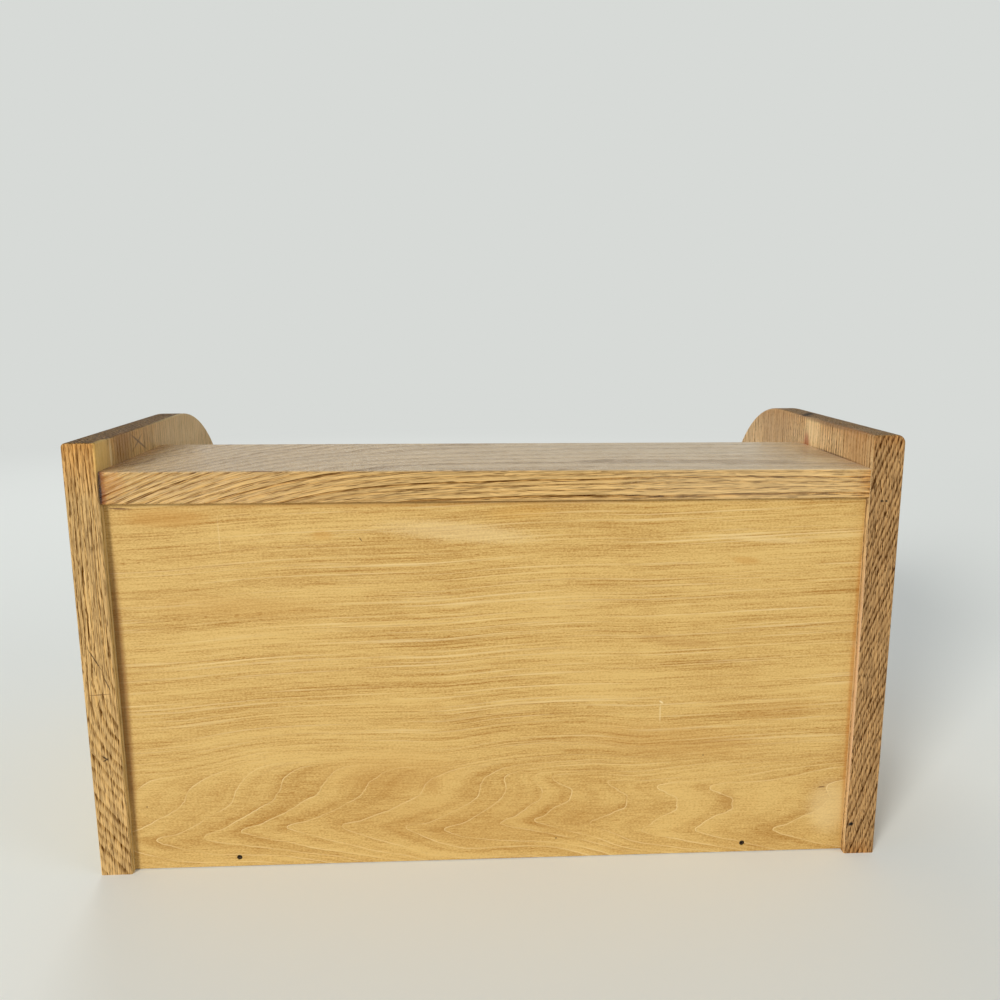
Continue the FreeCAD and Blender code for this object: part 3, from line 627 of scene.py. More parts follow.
# Poplar, planed and left bare inside the drawer: pale, close grained, hardly any pores.
poplar = {
    "late": "#DCC596", "early": "#CDB382", "pore": "#A58A5A", "end": "#C9B99A",
    "poreWidth": 0.45, "poreLength": 5.0, "poreAmount": 0.55, "poreScatter": 0.3,
    "hairlines": 0.5, "fibre": 0.34, "shade": 0.2, "gloss": 0.55,
    "bump": (0.2, 0.15), "varnish": 0.3, "refraction": 1.45,
}
drawerBoards = {
    "drawer_side_left": {"grain": "Y", "shift": (10, 0, 0), "rings": (0.12, 0.14, 0.004), "warp": 3.0},
    "drawer_side_right": {"grain": "Y", "shift": (500, 90, 60), "rings": (0.12, 0.14, 0.004), "warp": 3.0},
    "drawer_back": {"grain": "X", "shift": (0, 300, 0), "rings": (0.1, 0.16, 0.004), "warp": 3.0},
    "drawer_bottom": {"grain": "X", "shift": (0, -300, 0), "rings": (0.03, 0.09, 0.003), "warp": 2.6},
}
for name, board in drawerBoards.items():
    dress(woodMaterial("planedPoplar_" + name, poplar, board), name)
print("wood: oak and poplar on the boards")


# Back. Rotary cut poplar plywood under satin varnish: near the foot the cut runs along the tree's
# rings and leaves flames, and higher up it crosses them in fine streaks. The rings are the level
# lines of one field over the panel; u is millimetres to -X and v is millimetres up.
figure = {
    "fit": ((-1.0046, 0, 1.0062), (0.0011, 0, 0)),     # scale and shift from the box's places to u and v
    "ridgeLevel": 21,                      # height that the curves below start from
    # height of the flames' tips across the panel
    "ridge": [(-240, 21), (-200, 20), (-127, 27), (-60, 23.5), (-30, 21), (20, 25.5), (63, 23), (95, 17),
              (240, 15)],
    # how far along u a ring has moved at each height over its tip, to the left and right of the middle
    "flameLeft": [(-30, 125), (-22, 86), (-15.7, 48), (-8, 20), (-4, 8), (-1.5, 1.5), (0, 0), (3.8, 12),
                  (9, 24), (13.5, 33), (22, 48), (31, 53), (37, 60), (41, 72), (43, 92), (45.5, 125),
                  (50, 185), (56, 280), (64, 440), (80, 780)],
    "flameRight": [(-30, 150), (-19, 101), (-11, 43), (-5, 14), (-2, 3), (0, 0), (3.4, 4), (10, 13),
                   (16.5, 21.5), (20.5, 21.5), (26, 14.5), (30, 8.5), (32.3, 14), (34.5, 35), (37.5, 62),
                   (41.5, 95), (46, 135), (52, 220), (60, 360), (80, 780)],
    # and above the flames, where they have become streaks
    "streaks": [(80, 0), (130, 1100), (175, 2200), (235, 3700)],
    # which ring lies at each place along the field
    "rings": [(-300, -2.7), (-260, -1.6), (-208, 0), (-180, 1), (-156, 2), (-127, 3), (-94, 4), (-55, 5),
              (-30, 6), (6, 7), (28, 8), (63, 9), (95, 10), (129, 11), (179, 12), (240, 13.2)],
    "streakPitch": 45,                     # millimetres of the field to a ring, above the flames
    # noise that bends the rings: size across, size up, amount, and which way it moves them
    "bends": [(170, 60, 5.5, "up"), (40, 14, 1.3, "up"), (22, 16, 8.0, "along"), (7, 5, 2.4, "along"),
              (2.4, 1.8, 1.0, "along")],
    "base": "#D7B36C", "dark": "#A67630", "pale": "#EDD298",
    "depth": 0.265,                        # tone from base to dark before any noise
    "ringDepth": 0.45, "ringCurve": 3.0,   # how much darker a ring gets towards its end, and how late
    "ringsAbove": -0.86,                   # what the rings lose above the flames
    "patchiness": 0.04,                    # metres by which the height of that change wanders
    "dashInBands": 0.6,                    # how much thicker the pores stand where a band is darker
    "step": 0.4,                           # millimetres over which the field's slope is taken
    # noise along the grain: millimetres across and up, detail, and how closely it follows the rings
    "noises": {"luck": (40, 12, 2, 0), "bands": (160, 400, 2, 0.3), "streaks": (90, 400, 3, 2.0),
               "lines": (130, 400, 2, 1.4), "broad": (110, 26, 2, 0), "fibre": (15, 0.8, 3, 0),
               "grit": (1.5, 0.8, 2, 0), "dash": (4.5, 0.75, 1, 0), "patch": (24, 9, 3, 0)},
    "tones": {"bands": 0.75, "broad": 0.85, "fibre": 1.3, "grit": 1.6, "streaks": 1.15},
    # the two ends of a measure or noise, and what it becomes there
    "fades": {
        "wavy": (0.075, 0.12, 1.0, 0.3),       # metres up: the rings turn straight
        "right": (-0.015, 0.045),              # metres to -X: from the left flames' shape to the right's
        "rightEnd": (0.14, 0.185, 1.0, 0.4),   # and partly back
        "streaky": (0.074, 0.112),             # metres up: above the flames
        "line": (0.9, 0.25),                   # millimetres past a ring's start: its pale line
        "crowd": (0.12, 0.45, 1.0, 0.16),      # rings per millimetre: fainter lines where they crowd
        "luck": (0.36, 0.6, 0.1, 0.78), "grit": (0.36, 0.6, 0.42, 1.0),
        "thin": (0.54, 0.72, 0, 0.4), "glow": (0.57, 0.7, 0, 0.65), "dash": (0.98, 1.14, 0, 0.6),
    },
    "gloss": (0.1, 0.42),                  # what the fibres add to the roughness, and the least
    "bump": (0.25, 0.08), "varnish": 0.35, "refraction": 1.45,
    "face": (151.2, 3),                    # place and reach in Y of the marks on the rear face
    # which are (x, z), (half width, half height), and the rest as addMarks has it
    "marks": [
        ((-110, 78), (75, 16), -4, "#B8843E", 0.26, 1.2),              # broad warmer patches
        ((60, 60), (60, 20), 0, "#BE8C46", 0.22, 1.2),
        ((-175, 96), (36, 9), 3, "#B07C38", 0.26, 1.2),
        ((150, 168), (70, 10), -3, "#BC8A42", 0.25, 1.2),
        ((188, 222.5), (36, 7.5), 0, "#BD883C", 0.5, 0.6),             # stained patches under the top board, and its painted shadow
        ((40, 229.5), (200, 3.0), 0, "#B07A32", 0.4, 0.5),
        # painted shadow: the thin dark line under the top board's overhang
        ((-60, 231), (200, 2.2), 0, "#7A5222", 0.6, 0.4),
        ((-17, 223), (27, 6), 3, "#CE9C48", 0.3, 0.6),
        ((99, 211), (9, 4.2), 0, "#C48E3C", 0.4, 0.5),
        ((-152, 192), (12, 3.2), -6, "#BE883A", 0.4, 0.6),
        ((-117, 141), (28, 4), -5, "#A9783A", 0.3, 0.9),
        ((213.5, 228.4), (9.5, 0.8), -3, "#5E3418", 0.8, 0.6),         # painted shadow in the gap where a splinter lifts under the top board
        ((38, 52), (8, 10), 24, "#A8742E", 0.28, 1.3),                 # deeper tone in the flames' noses
        ((-147, 37), (7, 11), 0, "#A97836", 0.32, 1.3),
        ((10, 30), (120, 26), 0, "#A87228", 0.16, 1.0),
        ((-213, 30), (19, 24), 0, "#E8CC92", 0.4, 0.5),                # paler sapwood
        ((-229, 134), (13, 4), -28, "#EDD29C", 0.6, 0.5),
        ((-160, 205), (42, 2.6), -5, "#EBD096", 0.3, 0.7),
        ((20, 212), (60, 8), -5, "#EBD096", 0.4, 0.9),
        ((158, 211.5), (0.5, 15), 2, "#F0D8A4", 0.22, 0.8),            # scratches
        ((-103, 96), (0.7, 8.5), 0, "#F4DEAA", 0.34, 0.7),
        ((-103.5, 103), (2.0, 0.8), -35, "#F4DEAA", 0.7, 0.3),
        ((76.5, 208.2), (2.0, 0.4), -55, "#4A2F14", 0.85, 0.4),        # nicks and specks
        ((-207, 43.6), (3.2, 0.5), 4, "#5E3C1A", 0.9, 0.6),
        ((-39.3, 13.4), (0.8, 0.6), 0, "#2E1C0C", 0.9, 0.3),
        ((-130.8, 67.2), (0.7, 0.6), 0, "#2E1C0C", 0.8, 0.3),
        ((212, 42), (0.7, 0.6), 0, "#3A240F", 0.8, 0.3),
        ((-221.8, 115), (2.4, 135), 0, "#B4783A", 0.5, 0.3),           # varnish gathered along the -X side, with painted bounce light from the side's lip
        # painted shadow that the +X side casts on the panel
        ((220.5, 115), (4.6, 135), 0, "#7E5020", 0.7, 0.3),
    ],
}


def ringFieldGroup():
    # places in metres, x to -X and z up
    tree, given = newGroup("ringField", "ShaderNodeTree", {"Place": ("Vector", None)}, {"Ring": "Float"})
    at = addNode(tree, "SeparateXYZ", [given["Place"]])
    u, v = at.outputs["X"], at.outputs["Z"]
    fades = {key: addNode(tree, "MapRange", [axis, *figure["fades"][key]], interpolation_type="SMOOTHSTEP")
             for key, axis in (("wavy", v), ("right", u), ("rightEnd", u))}
    curves = {key: [(x * mm, y * mm) for x, y in figure[key]]
              for key in ("ridge", "flameLeft", "flameRight", "streaks")}
    curves["rings"] = [(x * mm, y) for x, y in figure["rings"]]

    ridge = addNode(tree, "FloatCurve", {"Value": u}, points=curves["ridge"])
    ridge = addNode(tree, "Math", [ridge, -figure["ridgeLevel"] * mm], operation="ADD")
    ridge = addNode(tree, "Math", [ridge, fades["wavy"]], operation="MULTIPLY")
    v = addNode(tree, "Math", [v, figure["ridgeLevel"] * mm], operation="SUBTRACT")
    v = addNode(tree, "Math", [v, ridge], operation="SUBTRACT")
    sideways = 0.0
    for number, (across, up, amount, way) in enumerate(figure["bends"]):
        bend = addNode(tree, "Mapping",
                       {"Vector": given["Place"], "Scale": (1000 / across, 0, 1000 / up),
                        "Location": (7 * number, 3, 0)})
        bend = addNode(tree, "TexNoise", {"Vector": bend, "Scale": 1.0, "Detail": 1.0})
        bend = addNode(tree, "Math", [bend.outputs["Fac"], 0.5], operation="SUBTRACT")
        bend = addNode(tree, "Math", [bend, fades["wavy"]], operation="MULTIPLY")
        if way == "up":
            v = addNode(tree, "Math", [bend, amount * mm, v], operation="MULTIPLY_ADD")
        else:
            sideways = addNode(tree, "Math", [bend, amount * mm, sideways], operation="MULTIPLY_ADD")
    left, right, above = [addNode(tree, "FloatCurve", {"Value": v}, points=curves[key])
                          for key in ("flameLeft", "flameRight", "streaks")]
    share = addNode(tree, "Math", [fades["right"], fades["rightEnd"]], operation="MULTIPLY")
    flame = addNode(tree, "Mix", {0: share, 2: left, 3: right})
    along = addNode(tree, "Math", [u, flame], operation="SUBTRACT")
    along = addNode(tree, "Math", [along, above], operation="SUBTRACT")
    along = addNode(tree, "Math", [along, sideways], operation="ADD")
    near = addNode(tree, "FloatCurve", {"Value": along}, points=curves["rings"])
    far = addNode(tree, "Math", [along, -curves["rings"][0][0]], operation="ADD")
    far = addNode(tree, "Math", [far, 0.0], operation="MINIMUM")
    ring = addNode(tree, "Math", [far, 1000 / figure["streakPitch"], near], operation="MULTIPLY_ADD")
    addNode(tree, "NodeGroupOutput", {"Ring": ring})
    return tree


def panelMaterial():
    material, tree = newMaterial("varnishedPly_back_panel")
    coords = addNode(tree, "TexCoord")
    scale, shift = figure["fit"]
    place = addNode(tree, "Mapping", {"Vector": coords.outputs["Object"], "Scale": scale, "Location": shift})
    field = ringFieldGroup()
    step = figure["step"]
    fields = []
    for shift in ((0, 0, 0), (step * mm, 0, 0), (0, 0, step * mm)):
        moved = addNode(tree, "VectorMath", [place, shift], operation="ADD")
        fields.append(addNode(tree, "Group", [moved], node_tree=field))
    slope = [addNode(tree, "Math", [other, fields[0]], operation="SUBTRACT") for other in fields[1:]]
    slope = addNode(tree, "CombineXYZ", slope)
    slope = addNode(tree, "VectorMath", [slope], operation="LENGTH").outputs["Value"]
    slope = addNode(tree, "Math", [slope, 1 / step], operation="MULTIPLY")     # rings per millimetre
    phase = addNode(tree, "Math", [fields[0]], operation="FRACT")
    past = addNode(tree, "Math", [phase, slope], operation="DIVIDE")           # millimetres past the line

    noises = {}
    for key, (across, up, detail, tie) in figure["noises"].items():
        tied = addNode(tree, "Math", [fields[0], tie], operation="MULTIPLY")
        tied = addNode(tree, "CombineXYZ", [0.0, tied, 0.0])
        scaled = addNode(tree, "VectorMath", [place, (1000 / across, 0, 1000 / up)], operation="MULTIPLY")
        scaled = addNode(tree, "VectorMath", [scaled, tied], operation="ADD")
        noises[key] = addNode(tree, "TexNoise",
                              {"Vector": scaled, "Scale": 1.0, "Detail": detail, "Roughness": 0.6})
    height = addNode(tree, "SeparateXYZ", [place]).outputs["Z"]
    height = addNode(tree, "Math", [noises["patch"], figure["patchiness"], height], operation="MULTIPLY_ADD")
    # short dark pores
    dash = addNode(tree, "Math", [noises["bands"], figure["dashInBands"], noises["dash"]],
                   operation="MULTIPLY_ADD")
    measures = {"streaky": height, "line": past, "crowd": slope, "luck": noises["luck"],
                "grit": noises["grit"], "thin": noises["streaks"], "glow": noises["lines"], "dash": dash}
    fades = {}
    for key, measure in measures.items():
        fades[key] = addNode(tree, "MapRange", [measure, *figure["fades"][key]],
                             interpolation_type="SMOOTHSTEP" if key == "line" else "LINEAR")

    # a ring's pale line, broken by luck and grit; above the flames the cut crosses the rings, and they
    # are only fine dark streaks and thin pale ones
    ringed = addNode(tree, "Math", [fades["streaky"], figure["ringsAbove"], 1.0], operation="MULTIPLY_ADD")
    crowd = addNode(tree, "Math", [fades["crowd"], ringed], operation="MULTIPLY")
    line = fades["line"]
    for factor in (crowd, fades["luck"], fades["grit"]):
        line = addNode(tree, "Math", [line, factor], operation="MULTIPLY")
    glow = fades["glow"]
    for factor in (fades["streaky"], fades["grit"]):
        glow = addNode(tree, "Math", [glow, factor], operation="MULTIPLY")
    line = addNode(tree, "Math", [line, glow], operation="MAXIMUM")
    ringDepth = addNode(tree, "Math", [fades["luck"], figure["ringDepth"]], operation="MULTIPLY")
    deep = addNode(tree, "Math", [phase, figure["ringCurve"]], operation="POWER")
    deep = addNode(tree, "Math", [deep, ringDepth], operation="MULTIPLY")
    deep = addNode(tree, "Math", [deep, crowd, figure["depth"]], operation="MULTIPLY_ADD")
    for key, amount in figure["tones"].items():
        tone = addNode(tree, "Math", [noises[key], 0.5], operation="SUBTRACT")
        deep = addNode(tree, "Math", [tone, amount, deep], operation="MULTIPLY_ADD")
    thin = addNode(tree, "Math", [fades["thin"], fades["streaky"]], operation="MULTIPLY")
    deep = addNode(tree, "Math", [thin, fades["grit"], deep], operation="MULTIPLY_ADD")
    deep = addNode(tree, "Math", [fades["dash"], deep], operation="ADD", use_clamp=True)

    wood = srgb(figure["base"])
    for strength, tone in ((deep, "dark"), (line, "pale")):
        wood = addNode(tree, "Mix", {0: strength, 6: wood, 7: srgb(figure[tone])},
                       data_type="RGBA").outputs[2]
    level, reach = figure["face"]
    marks = [((x, level, z), (wide, reach, high), *rest) for (x, z), (wide, high), *rest in figure["marks"]]
    wood = addMarks(tree, coords.outputs["Object"], wood, marks)
    rough = addNode(tree, "Math", [noises["fibre"], *figure["gloss"]], operation="MULTIPLY_ADD")
    finishMaterial(tree, wood, rough, noises["fibre"], figure["bump"],
                   {"IOR": figure["refraction"], "Specular IOR Level": figure["varnish"]})
    return material


dress(panelMaterial(), "back_panel")
print("back: figured plywood")


# Top board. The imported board, planed thinner towards -X, with a lip over the plywood.

lip = {
    "frontDrop": 2.6, "rearDrop": 3.3,         # how much lower its top is at the -X end, in millimetres
    "underFrom": 151.3,                        # where the lip starts, along Y
    "underDrop": 1.9,                          # how much lower the lip is at the -X end
    "sharpFrom": 6,                            # degrees between faces from which an edge stays sharp
}


def lippedMesh(node):
    low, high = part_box(node)
    work = bmesh.new()
    work.from_mesh(cadNodes[node].data)
    bmesh.ops.remove_doubles(work, verts=work.verts, dist=1e-6)
    whole = work.verts[:] + work.edges[:] + work.faces[:]
    bmesh.ops.bisect_plane(work, geom=whole, plane_co=(0, lip["underFrom"] * mm, 0), plane_no=(0, 1, 0))
    for vert in work.verts:
        share = (high[0] - vert.co.x) / (high[0] - low[0])
        rise = (vert.co.z - low[2]) / (high[2] - low[2])
        back = (vert.co.y - low[1]) / (high[1] - low[1])
        drop = lip["frontDrop"] + (lip["rearDrop"] - lip["frontDrop"]) * back
        under = max(0, (vert.co.y - lip["underFrom"] * mm) / (high[1] - lip["underFrom"] * mm))
        vert.co.z -= share * (rise * drop + (1 - rise) * under * lip["underDrop"]) * mm
    return meshFrom(work, "topBoard")


topWood = cadNodes["top_board"].material_slots[0].material
topBoard = addPiece("topBoard", lippedMesh("top_board"), "case", ["top_board"], topWood)
topBoard.data.set_sharp_from_angle(angle=math.radians(lip["sharpFrom"]))
print("top board: tapered, with its lip")


# Slats. Fifteen of them are one slat, repeated round the middle of the track. Its section comes from
# the first packed slat, seen with its back down: "out" from the middle of the track, "up" along it.

slatSizes = {
    "crownSteps": 9,           # stretches over the crowned face
    "faceEase": 0.7,           # millimetres sanded off the arrises of the face
    "backEase": 0.25,
    "endEase": 0.6,
    "tongueInside": 2.0,       # where a tongue starts inside the slat
    "wood": {"grain": "X", "shift": (640, 15, -100), "rings": (0.22, 0.28, 0.006), "warp": 1.8, "cut": "cut"},
}
slatNames = sorted(name for name in cadNodes if name.startswith("curtain_slat"))
rollAt = Vector(next(joint["pos_m"] for joint in frame["joints"] if joint["name"] == "curtain_roll"))


def turned(points, angle):
    # points seen from the middle of the track, with the strip at this angle turned to angle nought
    cos, sin = math.cos(angle), math.sin(angle)
    return [(-y * cos + z * sin, y * sin + z * cos, x) for x, y, z in points]


def cornersOf(name):
    return [vertex.co - rollAt for vertex in cadNodes[name].data.vertices]


def angleOf(name):
    corners = cornersOf(name)
    return math.atan2(sum(p.z for p in corners), -sum(p.y for p in corners))


def eased(points, radii, steps=3):
    # closed outline with each corner rounded by its own radius
    outline = []
    sides = zip(points[-1:] + points[:-1], points[1:] + points[:1])
    for corner, (before, after), radius in zip(points, sides, radii):
        if not radius:
            outline.append(Vector(corner))
            continue
        corner = Vector(corner)
        into, out = (Vector(before) - corner).normalized(), (Vector(after) - corner).normalized()
        for step in range(steps + 1):
            t = step / steps
            outline.append(corner + into * radius * (1 - t) ** 2 + out * radius * t ** 2)
    return outline


def loftAlongX(shape, outline, stations):
    # closed strip: the outline (out, up) at every station (place across, scale about its middle)
    middle = sum(outline, Vector((0, 0))) / len(outline)
    rings = []
    for x, inset in stations:
        ring = []
        for point in outline:
            away = (point - middle).normalized() * inset
            ring.append(shape.verts.new((x, -(point.x - away.x), point.y - away.y)))
        rings.append(ring)
    joinRings(shape, rings)
    shape.faces.new(rings[0][::-1])
    shape.faces.new(rings[-1])


def slatMesh():
    backEase, faceEase, endEase = [slatSizes[key] * mm for key in ("backEase", "faceEase", "endEase")]
    steps = slatSizes["crownSteps"]
    section = turned(cornersOf(slatNames[0]), angleOf(slatNames[0]))
    reach = max(x for out, up, x in section)
    bodyHalf = sorted({round(abs(x), 5) for out, up, x in section})[-2]
    body = [(out, up) for out, up, x in section if abs(x) < bodyHalf + 0.0001]
    back, crown, half = min(body)[0], max(body)[0], max(up for out, up in body)
    shoulder = max(out for out, up in body if up > half - 0.0001)
    tongue = max(out for out, up, x in section if abs(x) > reach - 0.0001)
    sagitta = crown - shoulder
    radius = (half * half + sagitta * sagitta) / (2 * sagitta)
    face = []
    for step in range(1, steps):
        up = -half + 2 * half * step / steps
        face.append((crown - radius + math.sqrt(radius * radius - up * up), up))
    outline = eased([(back, half), (back, -half), (shoulder, -half)] + face + [(shoulder, half)],
                    [backEase] * 2 + [faceEase] + [0] * len(face) + [faceEase])
    shape = bmesh.new()
    ends = [(bodyHalf - endEase, 0), (bodyHalf - endEase * 0.3, endEase * 0.3), (bodyHalf, endEase)]
    loftAlongX(shape, outline, [(-x, inset) for x, inset in ends[::-1]] + ends)
    flat = eased([(back, half), (back, -half), (tongue, -half), (tongue, half)], [backEase * 2] * 4)
    ends = [(bodyHalf - slatSizes["tongueInside"] * mm, 0), (reach - endEase / 2, 0), (reach, endEase / 2)]
    for side in (-1, 1):
        loftAlongX(shape, flat, sorted((side * x, inset) for x, inset in ends))
    bmesh.ops.recalc_face_normals(shape, faces=shape.faces)
    return meshFrom(shape, "slat")


def repeatTree():
    # repeats a strip about the X axis, and gives each its own number from 0 to 1 for its wood
    tree, given = newGroup("repeatRound", "GeometryNodeTree", {
        "Strip": ("Geometry", None),
        "Count": ("Int", 15),
        "First Angle": ("Float", 0.0),
        "Angle Step": ("Float", 0.1),
        "Middle": ("Vector", None),
        "Seed": ("Int", 4),
        "Wood": ("Material", None),
    }, {"Strips": "Geometry"})
    line = addNode(tree, "GeometryNodeMeshLine",
                   {"Count": given["Count"], "Start Location": given["Middle"], "Offset": (0, 0, 0)})
    index = addNode(tree, "GeometryNodeInputIndex")
    angle = addNode(tree, "Math", [index, given["Angle Step"], given["First Angle"]],
                    operation="MULTIPLY_ADD")
    angle = addNode(tree, "Math", [angle, -1.0], operation="MULTIPLY")
    turn = addNode(tree, "CombineXYZ", [angle])
    strips = addNode(tree, "GeometryNodeInstanceOnPoints",
                     {"Points": line, "Instance": given["Strip"], "Rotation": turn})
    luck = addNode(tree, "FunctionNodeRandomValue",
                   {"Min": 0.0, "Max": 1.0, "ID": index, "Seed": given["Seed"]}, data_type="FLOAT")
    strips = addNode(tree, "GeometryNodeStoreNamedAttribute",
                     {"Geometry": strips, "Name": "cut", "Value": luck.outputs[1]},
                     data_type="FLOAT", domain="INSTANCE")
    whole = addNode(tree, "GeometryNodeRealizeInstances", [strips])
    whole = addNode(tree, "GeometryNodeSetMaterial", {"Geometry": whole, "Material": given["Wood"]})
    addNode(tree, "NodeGroupOutput", [whole])
    return tree


def throughNodes(mesh, tree, values):
    # the plain mesh that the tree makes of a mesh; values are the tree's other inputs by name
    maker = bpy.data.objects.new("maker", mesh)
    scene.collection.objects.link(maker)
    modifier = maker.modifiers.new("make", "NODES")
    modifier.node_group = tree
    for socket in tree.interface.items_tree:
        if socket.in_out == "INPUT" and socket.name in values:
            modifier[socket.identifier] = values[socket.name]
    made = bpy.data.meshes.new_from_object(maker.evaluated_get(bpy.context.evaluated_depsgraph_get()))
    bpy.data.objects.remove(maker)
    return made


firstAngle, lastAngle = angleOf(slatNames[0]), angleOf(slatNames[-1])
angleStep = (lastAngle - firstAngle) / (len(slatNames) - 1)
slats = throughNodes(slatMesh(), repeatTree(), {
    "Count": len(slatNames), "First Angle": firstAngle, "Angle Step": angleStep, "Middle": rollAt, "Seed": 4,
    "Wood": woodMaterial("varnishedOak_slats", oak, slatSizes["wood"])})
slats = addPiece("curtainSlats", slats, "curtain", slatNames)
print("curtain:", len(slatNames), "slats")


# Canvas. Unbleached cotton duck behind the slats: flat where it is glued to each, and slightly slack
# over the gaps, so that it folds there.

canvas = {
    "width": 424,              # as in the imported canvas; it is cut along the weave, and not hemmed
    "thickness": 0.8,
    "behind": 0.05,            # how far it stands from the slats' backs
    "cell": 4.0,               # millimetres between the points of its mesh, across
    "folds": (0.0, 0.12, 0.5, 0.88),       # where its points stand between one gap and the next
    "slack": 0.18,             # how far it stands in from the gaps
    "fray": 0.35,              # unevenness of the cut edges
    "frayWaves": (1.7, 0.61),
    "threads": 13,             # per centimetre
    "slub": (160.0, 0.0006),   # unevenness of the threads: scale, and metres
    "glueSpots": (22.0, 0.56, 0.68, 0.5),      # scale, the noise over which one fades in, and its strength
    "warp": "#D8CDB4", "weft": "#C6B895", "gap": "#8E8062", "glue": "#B79B66",
    "gloss": (-0.3, 0.9),      # what glue adds to the roughness, and the cloth's own
    "bump": (0.6, 0.3), "sheen": 0.2, "shine": 0.2,
}


def canvasLine(offset):
    # corners of the canvas's section this far inside the slats' backs, from the rail to the last slat
    corners = cornersOf("curtain_canvas")
    back = min(out for out, up, x in turned(cornersOf(slatNames[0]), firstAngle))
    start = min(turned(corners, 0), key=lambda point: (round(point[1], 4), -point[0]))
    onLast = max(up for out, up, x in turned(corners, lastAngle))
    line = [Vector((start[0] - offset, start[1]))]
    for number in range(len(slatNames)):
        fold = firstAngle + (number - 0.5) * angleStep
        line.append(Vector((math.cos(fold), math.sin(fold))) * (back - offset) / math.cos(angleStep / 2))
    out = Vector((math.cos(lastAngle), math.sin(lastAngle)))
    return line + [out * (back - offset) + Vector((-out.y, out.x)) * onLast]


def canvasMesh():
    # two faces a thread's thickness apart, closed along the edges; u and v are metres along the weave
    half = canvas["width"] / 2
    columns = round(canvas["width"] / canvas["cell"])
    folds, (slow, quick) = canvas["folds"], canvas["frayWaves"]
    faces = []
    for depth in (canvas["behind"], canvas["behind"] + canvas["thickness"]):
        line = canvasLine(depth * mm)
        row = [one.lerp(two, t) for one, two in zip(line, line[1:]) for t in folds] + line[-1:]
        for i in range(len(folds), len(row) - 1, len(folds)):
            row[i] = row[i] - row[i].normalized() * canvas["slack"] * mm
        faces.append(row)
    length = sum((two - one).length for one, two in zip(faces[0], faces[0][1:]))
    shape = bmesh.new()
    weave = shape.loops.layers.uv.new("weave")
    grids = []
    for row in faces:
        grid, run = [], 0.0
        for i, point in enumerate(row):
            run += (point - row[i - 1]).length if i else 0.0
            line = []
            for column in range(columns + 1):
                x = (-half + canvas["width"] * column / columns) * mm
                if column in (0, columns):
                    fray = 0.5 + 0.5 * math.sin(i * slow) * math.sin(i * quick)
                    x -= math.copysign(canvas["fray"] * mm * fray, x)
                line.append((shape.verts.new((x, rollAt.y - point.x, rollAt.z + point.y)), (x, run)))
            grid.append(line)
        grids.append(grid)

    def face(corners):
        made = shape.faces.new([vertex for vertex, place in corners])
        for loop, (vertex, place) in zip(made.loops, corners):
            loop[weave].uv = place

    outer, inner = grids
    for i in range(len(outer) - 1):
        for j in range(columns):
            face([outer[i][j], outer[i][j + 1], outer[i + 1][j + 1], outer[i + 1][j]])
            face([inner[i][j], inner[i + 1][j], inner[i + 1][j + 1], inner[i][j + 1]])
        for j in (0, columns):
            face([outer[i][j], outer[i + 1][j], inner[i + 1][j], inner[i][j]])
    for j in range(columns):
        for i in (0, -1):
            face([outer[i][j], inner[i][j], inner[i][j + 1], outer[i][j + 1]])
    bmesh.ops.recalc_face_normals(shape, faces=shape.faces)
    return meshFrom(shape, "canvas"), length


def canvasMaterial():
    # duck: thick cotton threads, two ways, each over one and under one; the gaps between them are dark
    material, tree = newMaterial("unbleachedDuck")
    uv = addNode(tree, "UVMap", uv_map="weave")
    slub = addNode(tree, "TexNoise", {"Vector": uv, "Scale": canvas["slub"][0], "Detail": 2.0})
    slub = addNode(tree, "VectorMath", [slub.outputs["Color"], (0.5, 0.5, 0.5)], operation="SUBTRACT")
    slub = addNode(tree, "VectorMath", {0: slub, "Scale": canvas["slub"][1]}, operation="SCALE")
    at = addNode(tree, "VectorMath", [uv, slub], operation="ADD")
    at = addNode(tree, "VectorMath", {0: at, "Scale": canvas["threads"] * 100}, operation="SCALE")
    at = addNode(tree, "SeparateXYZ", [at])
    over, cells = [], []
    for axis in ("X", "Y"):
        inside = addNode(tree, "Math", [at.outputs[axis], 1.0], operation="PINGPONG")
        inside = addNode(tree, "Math", [inside, math.pi / 2], operation="MULTIPLY")
        over.append(addNode(tree, "Math", [inside], operation="SINE"))
        cells.append(addNode(tree, "Math", [at.outputs[axis]], operation="FLOOR"))
    checker = addNode(tree, "Math", cells, operation="ADD")
    checker = addNode(tree, "Math", [checker, 2.0], operation="FLOORED_MODULO")
    height = addNode(tree, "Mix", {0: checker, 2: over[0], 3: over[1]})
    gap = addNode(tree, "MapRange", [height, 0.5, 0.0])
    scale, low, high, strength = canvas["glueSpots"]
    soak = addNode(tree, "TexNoise", {"Vector": uv, "Scale": scale, "Detail": 3.0})
    soak = addNode(tree, "MapRange", [soak, low, high, 0, strength])
    colour = srgb(canvas["warp"])
    for share, tone in ((checker, "weft"), (gap, "gap"), (soak, "glue")):
        colour = addNode(tree, "Mix", {0: share, 6: colour, 7: srgb(canvas[tone])},
                         data_type="RGBA").outputs[2]
    rough = addNode(tree, "Math", [soak, *canvas["gloss"]], operation="MULTIPLY_ADD")
    finishMaterial(tree, colour, rough, height, canvas["bump"],
                   {"Sheen Weight": canvas["sheen"], "Specular IOR Level": canvas["shine"]})
    return material


sheetMesh, length = canvasMesh()
sheet = addPiece("curtainCanvas", sheetMesh, "curtain", ["curtain_canvas"], canvasMaterial())
print("canvas: cut to", canvas["width"], "by", round(length / mm), "mm")


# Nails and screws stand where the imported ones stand. Each is turned on its own axis, so that no two
# slots or points are alike.

